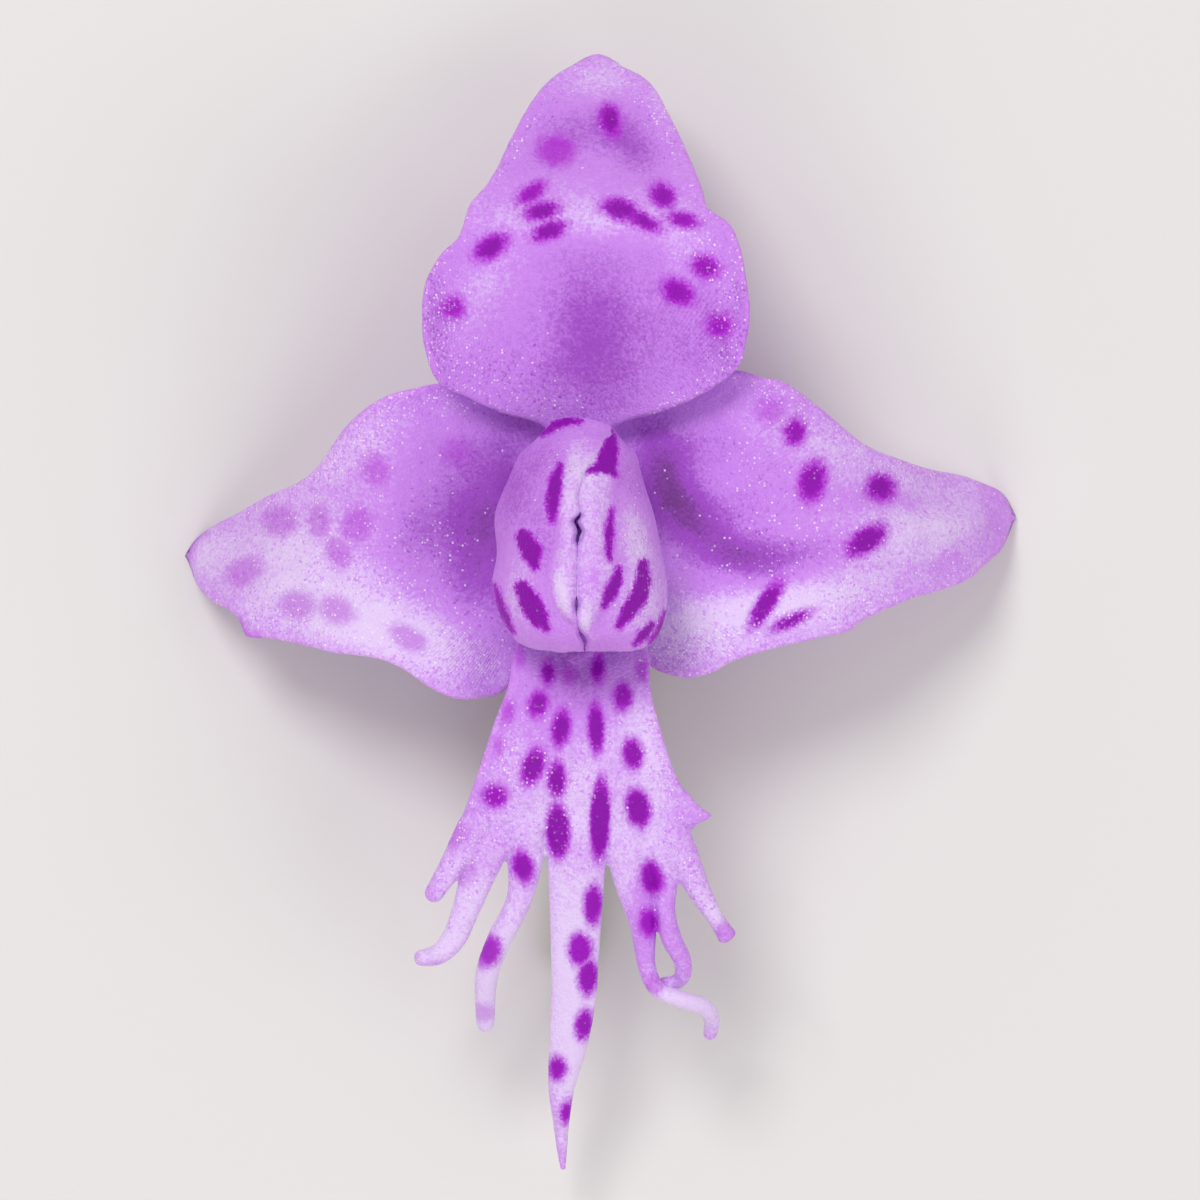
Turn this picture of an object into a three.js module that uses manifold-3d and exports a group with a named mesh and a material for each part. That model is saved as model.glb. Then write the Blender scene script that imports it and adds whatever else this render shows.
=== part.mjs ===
// One picked flower of the orchid Stenoglottis longifolia, laid on its back with its face up.
//
// Millimetres, +Z up. The floor is z = 0, +Y points to the upper sepal and -Y to the tip of the lip. The origin lies
// on the floor under the middle of the flower's outline. The flower's own midline, which runs through its column,
// is a little to the left of that. The flower rests on the flattened underside of its ovary and on the bent-back
// tips of its two side sepals.
import * as THREE from "three";
import { mergeVertices } from "three/addons/utils/BufferGeometryUtils.js";
import Module from "manifold-3d";

const wasm = await Module();
wasm.setup();

// Driving dimensions
const BLADE = 0.6; // thickness of a sepal, of a petal and of the lip
const GAP = 0.3; // clear space between two organs where one is seated on the other
const MIDLINE_X = -0.46; // the flower's own midline
const COLUMN_Y = 1.05; // the middle of the column
const SEAT_Z = 3.0; // top of the ovary, where all the organs are seated
const SEAT_RADIUS = 1.3;
const OVARY_RADIUS = 1.1; // at its belly
const OVARY_FLAT = 0.2; // how deep the belly is flattened where it rests
const OVARY_RIBS = 6;
const OVARY_TWIST = Math.PI; // it turns the flower upside down by half a turn
const SLIT = 0.3; // between the two petals
const SLIT_EDGE = 0.56; // width of the swollen edge along each side of the slit
const THECA_RADIUS = 0.27; // one of the two sacs of the anther
const THECA_X = 0.29; // from the midline to the middle of a sac
const ANTHER_Z = 5.62;
const ANTHER_Y = [1.35, 2.5];
const POLLINIUM_RADIUS = 0.12;

const within = (low, value, high) => Math.min(high, Math.max(low, value));

// A smooth curve through rows of [position, value, ...], as a function of the position that gives one value.
function through(rows, column = 1) {
  const curve = new THREE.CubicInterpolant(
    rows.map((row) => row[0]),
    rows.map((row) => row[column]),
    1,
  );
  const last = rows[rows.length - 1][0];
  return (at) => curve.evaluate(within(rows[0][0], at, last))[0];
}

// Solids

function facingOut(points, faces) {
  const geometry = new THREE.BufferGeometry().setFromPoints(points);
  let volume = 0;
  for (let i = 0; i < faces.length; i += 3) {
    const [a, b, c] = faces.slice(i, i + 3).map((k) => points[k]);
    volume += a.dot(new THREE.Vector3().crossVectors(b, c));
  }
  return geometry.setIndex(volume < 0 ? faces.reverse() : faces);
}

// A closed skin through rings of points that all have one count, with a fan over each end.
function loft(rings) {
  const count = rings[0].length;
  const points = rings.flat();
  const faces = [];
  for (let r = 0; r + 1 < rings.length; r++)
    for (let k = 0; k < count; k++) {
      const a = r * count + k;
      const b = r * count + ((k + 1) % count);
      faces.push(a, b, b + count, a, b + count, a + count);
    }
  const fan = (ring, start, turned) => {
    const middle = new THREE.Vector3();
    ring.forEach((p) => middle.addScaledVector(p, 1 / count));
    points.push(middle);
    for (let k = 0; k < count; k++) {
      const edge = [start + k, start + ((k + 1) % count)];
      faces.push(points.length - 1, ...(turned ? edge : edge.reverse()));
    }
  };
  fan(rings[0], 0, false);
  fan(rings[rings.length - 1], (rings.length - 1) * count, true);
  return facingOut(points, faces);
}

// A closed blade over an outline: place(row share, column share) gives [x, y] in the outline and height(x, y) the
// front sheet there. The back sheet lies straight behind it, so far that the blade is one thickness through, and is
// split into triangles the same way.
function blade(place, height, rows, columns) {
  const points = [];
  const step = 0.02;
  for (let i = 0; i <= rows; i++)
    for (let j = 0; j <= columns; j++) {
      const [x, y] = place(i / rows, j / columns);
      const slopeX = (height(x + step, y) - height(x - step, y)) / (2 * step);
      const slopeY = (height(x, y + step) - height(x, y - step)) / (2 * step);
      const depth = BLADE * Math.hypot(slopeX, slopeY, 1);
      points.push(new THREE.Vector3(x, y, height(x, y)), new THREE.Vector3(x, y, height(x, y) - depth));
    }
  const at = (i, j) => 2 * (i * (columns + 1) + j);
  const faces = [];
  for (let i = 0; i < rows; i++)
    for (let j = 0; j < columns; j++) {
      const [a, b, c, d] = [at(i, j), at(i, j + 1), at(i + 1, j + 1), at(i + 1, j)];
      faces.push(a, b, c, a, c, d, a + 1, c + 1, b + 1, a + 1, d + 1, c + 1);
    }
  const rim = (p, q) => faces.push(p, p + 1, q + 1, p, q + 1, q);
  for (let j = 0; j < columns; j++) {
    rim(at(0, j), at(0, j + 1));
    rim(at(rows, j + 1), at(rows, j));
  }
  for (let i = 0; i < rows; i++) {
    rim(at(i + 1, 0), at(i, 0));
    rim(at(i, columns), at(i + 1, columns));
  }
  return facingOut(points, faces);
}

// A tapering finger with an oval section and blunt ends, along a smooth path of [x, y, z, width] stations.
function finger(stations, thickness, rings = 12, sides = 8) {
  const path = new THREE.CatmullRomCurve3(stations.map(([x, y, z]) => new THREE.Vector3(x, y, z)));
  const width = through(stations.map((station, i) => [i / (stations.length - 1), station[3]]));
  const up = new THREE.Vector3(0, 0, 1);
  const nib = 0.015; // share of the length that each blunt end takes
  const shares = [0, nib];
  for (let i = 1; i < rings; i++) shares.push(i / rings);
  shares.push(1 - nib, 1);
  return loft(
    shares.map((share, i) => {
      const blunt = i === 0 || i === shares.length - 1 ? 0.5 : 1;
      const across = blunt * width(share);
      const deep = blunt * Math.min(thickness, 1.2 * width(share));
      const tangent = path.getTangent(share);
      const side = new THREE.Vector3().crossVectors(tangent, up).normalize();
      const front = new THREE.Vector3().crossVectors(side, tangent);
      return Array.from({ length: sides }, (_, k) => {
        const angle = (2 * Math.PI * (k + 0.5)) / sides;
        return path
          .getPoint(share)
          .addScaledVector(side, (across * Math.cos(angle)) / 2)
          .addScaledVector(front, (deep * Math.sin(angle)) / 2);
      });
    }),
  );
}

function box(low, high) {
  const size = high.map((h, i) => h - low[i]);
  return new THREE.BoxGeometry(...size).translate(...low.map((l, i) => l + size[i] / 2));
}

function ball(radii, at, width = 10, height = 8) {
  return new THREE.SphereGeometry(1, width, height).scale(...radii).translate(...at);
}

function solid(geometry) {
  const bare = geometry.clone();
  for (const name of ["normal", "uv"]) bare.deleteAttribute(name);
  const merged = mergeVertices(bare, 1e-4);
  return new wasm.Manifold(
    new wasm.Mesh({
      numProp: 3,
      vertProperties: merged.attributes.position.array,
      triVerts: new Uint32Array(merged.index.array),
    }),
  );
}

const joined = (geometries) => geometries.map(solid).reduce((all, one) => all.add(one));
const onFloor = (shape) => shape.subtract(solid(box([-20, -20, -5], [20, 20, 0])));

// Tissues

const LILAC = new THREE.MeshStandardMaterial({ color: "#d3a3ea", roughness: 0.5 });
const WHITE_LILAC = new THREE.MeshStandardMaterial({ color: "#ead5f5", roughness: 0.45 });
const GREEN = new THREE.MeshStandardMaterial({ color: "#9aa86a", roughness: 0.55 });
const CREAM = new THREE.MeshStandardMaterial({ color: "#e6dfae", roughness: 0.5 });

const flower = new THREE.Group();

function piece(name, shape, material) {
  const made = shape.getMesh();
  const geometry = new THREE.BufferGeometry();
  geometry.setAttribute("position", new THREE.BufferAttribute(new Float32Array(made.vertProperties), 3));
  geometry.setIndex(new THREE.BufferAttribute(new Uint32Array(made.triVerts), 1));
  geometry.computeVertexNormals();
  const mesh = new THREE.Mesh(geometry, material);
  mesh.name = name;
  flower.add(mesh);
}

// Sepals. Each is described along a line that runs out from the column. Its two edges are [distance out, position
// across]. Its spine is [distance out, position across, height, slope across], and its rise is how much its two
// sides curl up besides at the given half width, as [distance out, on the low side, on the high side].

function sepal({ lowEdge, highEdge, spine, rise, halfWidth, axis, rows, columns }) {
  const [low, high] = [through(lowEdge), through(highEdge)];
  const [centre, ridge, slope] = [1, 2, 3].map((n) => through(spine, n));
  const [riseLow, riseHigh] = [through(rise, 1), through(rise, 2)];
  const height = (x, y) => {
    const [out, across] = axis(x, y);
    const off = across - centre(out);
    const curl = (off < 0 ? riseLow(out) : riseHigh(out)) * Math.abs(off / halfWidth) ** 2.2;
    return ridge(out) + slope(out) * off + curl;
  };
  const start = lowEdge[0][0];
  const end = lowEdge[lowEdge.length - 1][0];
  const place = (row, column) => {
    const eased = 0.4 * row + 0.3 * (1 - Math.cos(Math.PI * row)); // rows stand closer at both ends
    const out = start + (end - start) * eased;
    return axis(out, low(out) + column * (high(out) - low(out)));
  };
  return solid(blade(place, height, rows, columns));
}

// Each of these turns [distance out, position across] into [x, y], and back.
const upwards = (a, b) => [b, a];
const leftwards = (a, b) => [-a, b];
const rightwards = (a, b) => [a, b];

piece(
  "dorsal_sepal",
  sepal({
    lowEdge: [
      [2.0, -0.92], [3.3, -0.9], [3.72, -1.2], [3.94, -1.96], [4.26, -2.68], [4.54, -3.22], [5.2, -3.5],
      [5.94, -3.56], [6.6, -3.46], [7.12, -3.16], [7.42, -2.86], [7.78, -2.72], [8.14, -2.58], [8.54, -2.24],
      [9.4, -1.8], [10.02, -1.45], [10.64, -1.0], [11.0, -0.52], [11.13, -0.2],
    ],
    highEdge: [
      [2.0, 0.02], [3.3, 0.05], [3.72, 0.4], [4.0, 1.36], [4.3, 2.02], [4.82, 2.72], [5.32, 2.91],
      [6.0, 2.99], [6.86, 2.88], [7.36, 2.76], [7.72, 2.6], [8.04, 2.16], [8.34, 2.06], [8.9, 1.86],
      [9.5, 1.56], [10.18, 1.26], [10.6, 0.95], [10.95, 0.4], [11.13, 0.12],
    ],
    spine: [
      [2.0, -0.45, 3.95, 0], [3.0, -0.42, 4.2, 0], [3.9, -0.38, 4.4, 0], [5.2, -0.34, 4.35, 0],
      [6.6, -0.28, 4.65, 0], [7.6, -0.22, 4.95, 0], [8.6, -0.14, 4.55, 0], [9.8, -0.06, 3.7, 0],
      [11.13, 0, 2.75, 0],
    ],
    rise: [
      [2.0, 0, 0], [3.4, 0.2, 0.2], [4.2, 1.1, 1.1], [5.4, 1.3, 1.3], [6.6, 1.0, 1.05],
      [7.6, 0.55, 0.65], [8.6, 0.6, 0.6], [11.13, 1.2, 1.2],
    ],
    halfWidth: 3.2,
    axis: upwards,
    rows: 28,
    columns: 14,
  }),
  LILAC,
);

piece(
  "lateral_sepal_left",
  onFloor(
    sepal({
      lowEdge: [
        [1.2, 0.25], [1.5, -0.9], [1.9, -1.6], [2.4, -1.76], [2.84, -1.78], [3.3, -1.62], [3.9, -1.22],
        [4.4, -0.99], [5.2, -0.88], [6.2, -0.64], [7.05, -0.52], [7.3, -0.16], [7.75, 0.18], [8.08, 0.55],
        [8.24, 0.88], [8.28, 1.02],
      ],
      highEdge: [
        [1.2, 3.2], [1.4, 3.75], [1.8, 4.1], [2.2, 4.25], [3.0, 4.45], [3.66, 4.46], [4.22, 4.3], [4.87, 3.83],
        [5.3, 3.36], [5.67, 2.88], [6.3, 2.45], [6.9, 2.16], [7.5, 1.84], [8.0, 1.5], [8.24, 1.24], [8.28, 1.12],
      ],
      spine: [
        [1.2, 1.05, 3.95, 0], [2.0, 1.1, 3.85, 0], [2.8, 1.2, 3.75, 0], [4.2, 1.25, 3.85, 0],
        [5.4, 1.2, 3.55, -0.05], [6.6, 1.1, 2.7, -0.2], [7.6, 1.07, 1.6, -0.45], [8.28, 1.07, 0.75, -0.5],
      ],
      rise: [
        [1.2, 0, -0.45], [2.0, 0.3, -0.1], [2.8, 0.65, 0.3], [4.2, 0.6, 0.6], [5.4, 0.6, 0.5],
        [6.6, 0.5, 0.2], [8.28, 0.5, -0.3],
      ],
      halfWidth: 2.9,
      axis: leftwards,
      rows: 24,
      columns: 12,
    }),
  ),
  LILAC,
);

piece(
  "lateral_sepal_right",
  onFloor(
    sepal({
      lowEdge: [
        [0.3, 0.25], [0.55, -0.6], [1.04, -1.14], [1.4, -1.29], [1.77, -1.35], [2.2, -1.26], [2.69, -1.02],
        [3.6, -0.75], [4.28, -0.58], [4.89, -0.45], [5.3, -0.2], [6.06, 0.15], [7.34, 0.61], [7.8, 0.95],
        [8.15, 1.46], [8.28, 1.8],
      ],
      highEdge: [
        [0.3, 3.2], [0.5, 3.85], [0.9, 4.1], [1.3, 4.25], [2.1, 4.6], [2.72, 4.8], [3.2, 4.66], [3.73, 4.54],
        [4.4, 4.05], [5.26, 3.36], [6.0, 3.03], [6.6, 2.83], [7.3, 2.7], [7.8, 2.5], [8.18, 2.24], [8.28, 1.98],
      ],
      spine: [
        [0.3, 1.05, 3.95, 0], [1.1, 1.1, 3.85, 0], [2.0, 1.3, 3.75, 0], [3.4, 1.5, 3.85, 0],
        [4.8, 1.6, 3.6, -0.05], [6.2, 1.75, 2.8, -0.2], [7.4, 1.85, 1.65, -0.45], [8.28, 1.9, 0.75, -0.5],
      ],
      rise: [
        [0.3, 0, -0.3], [1.1, 0.3, -0.08], [2.0, 0.65, 0.35], [3.4, 0.65, 0.75], [4.8, 0.6, 0.5],
        [6.2, 0.5, 0.2], [8.28, 0.5, -0.3],
      ],
      halfWidth: 2.9,
      axis: rightwards,
      rows: 24,
      columns: 12,
    }),
  ),
  LILAC,
);

// Petals. The two close over the column as a hood with a slit down its middle. The hood is a stack of arches from
// one side of the flower to the other, cut in two along the slit. Each row is [y, left foot, right foot, slit,
// height of the crest, height of the feet], from the mouth of the hood to its top.
const hoodRows = [
  [-0.85, -1.35, 0.82, -0.34, 6.3, 5.6],
  [-0.55, -1.74, 1.12, -0.4, 6.72, 5.2],
  [-0.1, -2.0, 1.31, -0.46, 7.0, 4.75],
  [0.5, -2.15, 1.34, -0.48, 7.2, 4.5],
  [1.13, -2.06, 1.24, -0.46, 7.2, 4.4],
  [1.9, -2.1, 1.1, -0.44, 7.0, 4.4],
  [2.6, -1.86, 0.86, -0.3, 6.65, 4.5],
  [3.2, -1.48, 0.64, -0.14, 6.2, 4.7],
  [3.6, -1.05, 0.36, -0.07, 5.8, 4.85],
  [3.84, -0.62, -0.05, -0.06, 5.4, 4.95],
];
const [hoodLeft, hoodRight, slitX, hoodCrest, hoodFoot] = [1, 2, 3, 4, 5].map((n) => through(hoodRows, n));
const HOOD_MOUTH = hoodRows[0][0];
const HOOD_TOP = hoodRows[hoodRows.length - 1][0];

// One arch of the hood, drawn in by inset on its outside and reaching down to floor.
function arch(y, inset, floor) {
  const steps = 22;
  const crest = hoodCrest(y) - inset;
  const foot = Math.min(hoodFoot(y), crest - 0.1);
  const ring = [];
  for (let k = 0; k <= steps; k++) {
    const angle = Math.PI * (k / steps - 0.5);
    const reach = Math.abs((angle < 0 ? hoodLeft(y) : hoodRight(y)) - slitX(y)) - inset;
    const off = reach * Math.sin(angle);
    const swelling = inset ? 0 : 0.14 * Math.sin(Math.PI * Math.min(1, Math.abs(off) / SLIT_EDGE)) ** 0.7;
    ring.push(
      new THREE.Vector3(slitX(y) + off, y, foot + (crest - foot) * Math.cos(angle) ** 0.85 + swelling),
    );
  }
  return [new THREE.Vector3(ring[0].x, y, floor), ...ring, new THREE.Vector3(ring[steps].x, y, floor)];
}

function hood() {
  const outside = [];
  for (let i = 0; i <= 18; i++) {
    const y = HOOD_MOUTH + (HOOD_TOP - HOOD_MOUTH) * Math.sin((Math.PI / 36) * i) ** 0.9;
    outside.push(arch(y, 0, hoodFoot(y) - 0.02));
  }
  const inside = [];
  for (let i = 0; i <= 10; i++) {
    const y = HOOD_MOUTH + ((HOOD_TOP - BLADE - HOOD_MOUTH) * i) / 10;
    inside.push(arch(y, BLADE, SEAT_Z));
  }
  const mouth = inside[0].map((p) => new THREE.Vector3(p.x, HOOD_MOUTH - 1, p.z));
  return solid(loft(outside)).subtract(solid(loft([mouth, ...inside])));
}

// All that lies on one side of the slit.
function besideSlit(sign) {
  const outline = new THREE.Shape().moveTo(sign * 9, -3);
  for (let y = -3; y <= 6; y += 0.5) outline.lineTo(slitX(y) + (sign * SLIT) / 2, y);
  outline.lineTo(sign * 9, 6);
  return solid(new THREE.ExtrudeGeometry(outline, { depth: 9, bevelEnabled: false }));
}

// Under the top of the hood each petal narrows to a short claw, which lies on the foot of the upper sepal.
function claw(x, inwards) {
  const stations = [
    [x, 3.45, 5.1, 0.6],
    [x, 2.95, 4.86, 0.62],
    [x + inwards, 2.3, 4.7, 0.54],
  ];
  return solid(finger(stations, 0.36, 4));
}

const wholeHood = hood();
piece("petal_left", wholeHood.intersect(besideSlit(-1)).add(claw(-0.85, 0.05)), LILAC);
piece("petal_right", wholeHood.intersect(besideSlit(1)).add(claw(0.12, -0.1)), LILAC);

// Lip: a wedge-shaped plate on a narrow claw. It ends in a long middle lobe and two side lobes, which are split
// into fingers.

// [y, left edge, right edge, height, rise of both edges], from the tip of the middle lobe upwards
const lipRows = [
  [-11.13, -3.0, 1.78, 1.8, 0],
  [-10, -3.0, 1.78, 2.3, 0],
  [-8, -3.0, 1.78, 3.2, 0],
  [-6, -3.0, 1.78, 4.1, 0],
  [-4.7, -3.0, 1.78, 4.6, -0.08],
  [-4.0, -2.74, 1.74, 4.8, -0.05],
  [-3.28, -2.48, 1.56, 4.96, 0.05],
  [-2.26, -2.12, 1.22, 5.02, 0.14],
  [-1.54, -1.84, 1.02, 4.98, 0.18],
  [-0.76, -1.68, 0.94, 4.84, 0.2],
  [-0.3, -1.3, 0.4, 4.68, 0.05],
];
const [lipLeft, lipRight, lipHeight, lipRise] = [1, 2, 3, 4].map((n) => through(lipRows, n));
const LIP_TOP = lipRows[lipRows.length - 1][0];

// Where the plate ends, between the roots of the lobes, as [x, y].
const lipHem = through([
  [-3.0, -5.0], [-2.6, -5.2], [-1.89, -5.0], [-1.1, -4.72], [-0.46, -4.95], [0.16, -5.02], [1.0, -5.35],
  [1.5, -5.4], [1.8, -5.0],
]);

function lipPlate() {
  const place = (row, column) => {
    const straight = LIP_TOP - (5.1 + LIP_TOP) * row;
    const x = lipLeft(straight) + column * (lipRight(straight) - lipLeft(straight));
    return [x, LIP_TOP + (lipHem(x) - LIP_TOP) * row];
  };
  const height = (x, y) => {
    const half = (lipRight(y) - lipLeft(y)) / 2;
    return lipHeight(y) + lipRise(y) * ((x - lipLeft(y)) / half - 1) ** 2;
  };
  return blade(place, height, 12, 16);
}

// Each finger from its root inside the plate to its tip, as [x, y, height above the middle lobe, width].
const fingers = {
  outerLeft: [
    [-2.35, -4.0, 0.02, 0.7], [-2.72, -4.75, 0, 0.66], [-3.05, -5.25, 0.05, 0.48], [-3.4, -5.74, 0.1, 0.38],
  ],
  curledLeft: [
    [-2.0, -4.3, 0, 0.8], [-2.4, -5.2, 0, 0.72], [-2.68, -5.98, 0.05, 0.56], [-2.92, -6.56, 0.1, 0.5],
    [-3.25, -6.9, 0.25, 0.42], [-3.66, -6.98, 0.5, 0.3],
  ],
  innerLeft: [
    [-1.5, -4.1, 0, 0.8], [-1.5, -5.0, 0, 0.72], [-1.62, -5.8, 0.05, 0.5], [-2.04, -6.66, 0.05, 0.48],
    [-2.28, -7.4, -0.1, 0.44], [-2.3, -8.4, -0.5, 0.34],
  ],
  middle: [
    [-0.46, -4.0, 0, 1.3], [-0.47, -5.2, 0, 1.16], [-0.5, -6.9, 0, 0.96], [-0.53, -7.8, 0, 0.9],
    [-0.64, -8.72, 0, 0.76], [-0.77, -9.56, 0, 0.54], [-0.77, -10.3, 0, 0.32], [-0.74, -11.11, 0, 0.16],
  ],
  innerRight: [
    [0.45, -4.3, 0, 0.9], [0.66, -5.4, 0, 0.78], [0.86, -6.3, 0.05, 0.54], [0.93, -7.1, 0.1, 0.36],
    [1.14, -7.58, 0.3, 0.34], [1.6, -7.8, 0.35, 0.34], [2.06, -7.95, 0.1, 0.34], [2.24, -8.2, -0.15, 0.32],
    [2.2, -8.56, -0.3, 0.26],
  ],
  loopedRight: [
    [1.1, -4.4, 0, 0.7], [1.3, -5.4, 0, 0.5], [1.32, -6.0, 0.15, 0.38], [1.42, -6.55, 0.2, 0.42],
    [1.66, -7.05, 0.1, 0.36], [1.6, -7.42, -0.1, 0.32], [1.18, -7.52, -0.1, 0.28],
  ],
  outerRight: [
    [1.35, -4.2, 0, 0.7], [1.7, -5.0, 0, 0.62], [1.98, -5.6, 0, 0.48], [2.36, -6.24, 0.05, 0.34],
    [2.6, -6.58, 0.1, 0.42],
  ],
  toothRight: [
    [1.3, -3.62, 0, 0.5], [1.74, -3.98, 0, 0.38], [2.23, -4.2, 0, 0.14],
  ],
};

function lipFinger(stations) {
  const placed = stations.map(([x, y, up, width]) => [x, y, lipHeight(y) + up - BLADE / 2, width]);
  return finger(placed, BLADE, 2 * stations.length, 6);
}

const lipClaw = [
  [MIDLINE_X, 0.2, SEAT_Z + GAP + BLADE / 2, 0.8],
  [MIDLINE_X, -0.25, 3.95, 1.0],
  [MIDLINE_X, -0.6, 4.4, 1.3],
  [MIDLINE_X, -1.2, 4.62, 1.3],
];

piece(
  "lip",
  joined([lipPlate(), finger(lipClaw, BLADE, 6, 8), ...Object.values(fingers).map(lipFinger)]),
  LILAC,
);

// Column: a short stout stub, with two club-shaped stigmas towards the lip, a tooth between them and a wart at each
// side. The anther has grown to its top: two sacs side by side, each open to the front by a long slit.

function sac(side, radius, shorter) {
  const x = MIDLINE_X + side * THECA_X;
  const [low, high] = [ANTHER_Y[0] + shorter, ANTHER_Y[1] - shorter];
  const stations = [
    [x, low - 0.34, ANTHER_Z, 0.5 * radius],
    [x, low, ANTHER_Z, 1.8 * radius],
    [x, (low + high) / 2, ANTHER_Z, 2 * radius],
    [x, high, ANTHER_Z - 0.1, 1.7 * radius],
    [x, high + 0.18, ANTHER_Z - 0.16, 0.8 * radius],
  ];
  return solid(finger(stations, 2 * radius, 6, 8));
}

function column() {
  const profile = [
    [0, 0], [0.5, 0], [0.46, 0.5], [0.55, 1.1], [0.6, 1.6], [0.52, 2.0], [0, 2.2],
  ].map(([radius, up]) => new THREE.Vector2(radius, up));
  const stub = new THREE.LatheGeometry(profile, 12)
    .rotateX(Math.PI / 2)
    .translate(MIDLINE_X, COLUMN_Y, SEAT_Z + GAP);
  const tooth = ball([0.12, 0.3, 0.2], [MIDLINE_X, COLUMN_Y - 0.46, 5.02], 8, 6);
  const back = ball([0.4, 0.75, 0.2], [MIDLINE_X, 1.9, ANTHER_Z - 0.12], 8, 6);
  let shape = joined([stub, tooth, back]);
  for (const side of [-1, 1]) {
    const x = (off) => MIDLINE_X + side * off;
    const stigma = [
      [x(0.2), COLUMN_Y, 4.86, 0.3],
      [x(0.34), COLUMN_Y - 0.5, 4.98, 0.34],
      [x(0.4), COLUMN_Y - 0.95, 5.2, 0.46],
    ];
    const wart = ball([0.24, 0.32, 0.22], [x(0.58), COLUMN_Y + 0.25, 4.66], 8, 6);
    shape = shape.add(joined([finger(stigma, 0.36, 5), wart])).add(sac(side, THECA_RADIUS, 0));
  }
  for (const side of [-1, 1]) {
    const hollow = POLLINIUM_RADIUS + 0.06;
    const x = MIDLINE_X + side * THECA_X;
    const slit = box([x - hollow, ANTHER_Y[0] - 0.5, ANTHER_Z], [x + hollow, ANTHER_Y[1] - 0.1, ANTHER_Z + 1]);
    shape = shape.subtract(sac(side, hollow, 0.12)).subtract(solid(slit));
  }
  return shape;
}

// Pollinarium: the club of pollen in each sac, its thin stalk and the sticky disc at the stalk's foot.
function pollinarium(side) {
  const x = MIDLINE_X + side * THECA_X;
  const club = [
    [x, ANTHER_Y[1] - 0.3, ANTHER_Z, POLLINIUM_RADIUS],
    [x, ANTHER_Y[1] - 0.6, ANTHER_Z, 2 * POLLINIUM_RADIUS],
    [x, ANTHER_Y[0] + 0.1, ANTHER_Z, 1.4 * POLLINIUM_RADIUS],
    [x, ANTHER_Y[0] - 0.5, ANTHER_Z - 0.08, 0.12],
  ];
  const disc = ball([0.14, 0.09, 0.14], [x, ANTHER_Y[0] - 0.52, ANTHER_Z - 0.08], 8, 6);
  return joined([finger(club, 2 * POLLINIUM_RADIUS, 6, 6), disc]);
}

piece("column", column(), WHITE_LILAC);
piece("pollinarium_left", pollinarium(-1), CREAM);
piece("pollinarium_right", pollinarium(1), CREAM);

// Ovary: a ribbed and twisted stalk that widens at its top into the seat of the flower, bends under the lip and
// lies along the floor to the cut end of its pedicel.
function ovary() {
  const path = new THREE.CatmullRomCurve3(
    [
      [1.0, SEAT_Z], [0.98, 2.5], [0.5, 1.6], [-0.7, 1.1], [-2.4, OVARY_RADIUS - OVARY_FLAT], [-4.3, 0.85],
      [-5.9, 0.6], [-7.2, 0.5],
    ].map(([y, z]) => new THREE.Vector3(MIDLINE_X, y, z)),
  );
  const radius = through([
    [0, SEAT_RADIUS], [0.035, 1.2], [0.08, 0.86], [0.14, 0.7], [0.25, 0.86], [0.42, OVARY_RADIUS],
    [0.56, OVARY_RADIUS], [0.7, 0.86], [0.8, 0.52], [1, 0.4],
  ]);
  const across = new THREE.Vector3(1, 0, 0);
  const rings = [];
  const [steps, sides] = [28, 18];
  for (let i = 0; i <= steps; i++) {
    const share = (i / steps) ** 1.25;
    const along = i === 0 ? new THREE.Vector3(0, 0, -1) : path.getTangent(share);
    const other = new THREE.Vector3().crossVectors(along, across).normalize();
    const ribs = 0.09 * within(0, (share - 0.08) / 0.15, 1) * within(0, (1.05 - share) / 0.2, 1);
    const ring = [];
    for (let k = 0; k < sides; k++) {
      const angle = (2 * Math.PI * k) / sides;
      const reach = radius(share) * (1 - ribs + ribs * Math.cos(OVARY_RIBS * (angle + OVARY_TWIST * share)));
      ring.push(
        path
          .getPoint(share)
          .addScaledVector(across, reach * Math.cos(angle))
          .addScaledVector(other, reach * Math.sin(angle)),
      );
    }
    rings.push(ring);
  }
  return onFloor(solid(loft(rings)));
}

piece("ovary", ovary(), GREEN);

export default flower;
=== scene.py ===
"""Looks of a picked Stenoglottis longifolia flower that lies on its back, face up.

All shapes are worked out in millimetres and turned to metres at the end. +Y points to the upper sepal, -Y to
the tip of the lip, +Z out of the flower's face.
"""

import functools
import math

import bpy
import numpy as np
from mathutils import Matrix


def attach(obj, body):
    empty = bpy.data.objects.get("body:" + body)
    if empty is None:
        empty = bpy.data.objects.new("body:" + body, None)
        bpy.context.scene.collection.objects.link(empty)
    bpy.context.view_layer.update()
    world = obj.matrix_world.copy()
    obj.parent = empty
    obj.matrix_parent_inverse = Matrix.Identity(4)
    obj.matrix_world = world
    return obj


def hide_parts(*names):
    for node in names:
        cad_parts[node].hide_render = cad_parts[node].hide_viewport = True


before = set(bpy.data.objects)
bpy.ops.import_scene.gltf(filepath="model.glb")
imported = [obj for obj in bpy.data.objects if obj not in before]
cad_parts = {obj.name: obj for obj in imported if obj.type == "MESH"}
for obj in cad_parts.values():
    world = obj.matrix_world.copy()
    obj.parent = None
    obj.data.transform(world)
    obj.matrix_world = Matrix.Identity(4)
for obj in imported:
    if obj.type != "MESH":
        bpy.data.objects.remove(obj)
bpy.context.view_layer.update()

bl_info = {
    "name": "Stenoglottis flower",
    "version": (1, 0, 0),
    "blender": (4, 5, 0),
    "location": "View3D > Sidebar > Flower",
    "description": "Models a picked orchid flower around its packed solids",
    "category": "Add Mesh",
}

MM = 0.001

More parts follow.
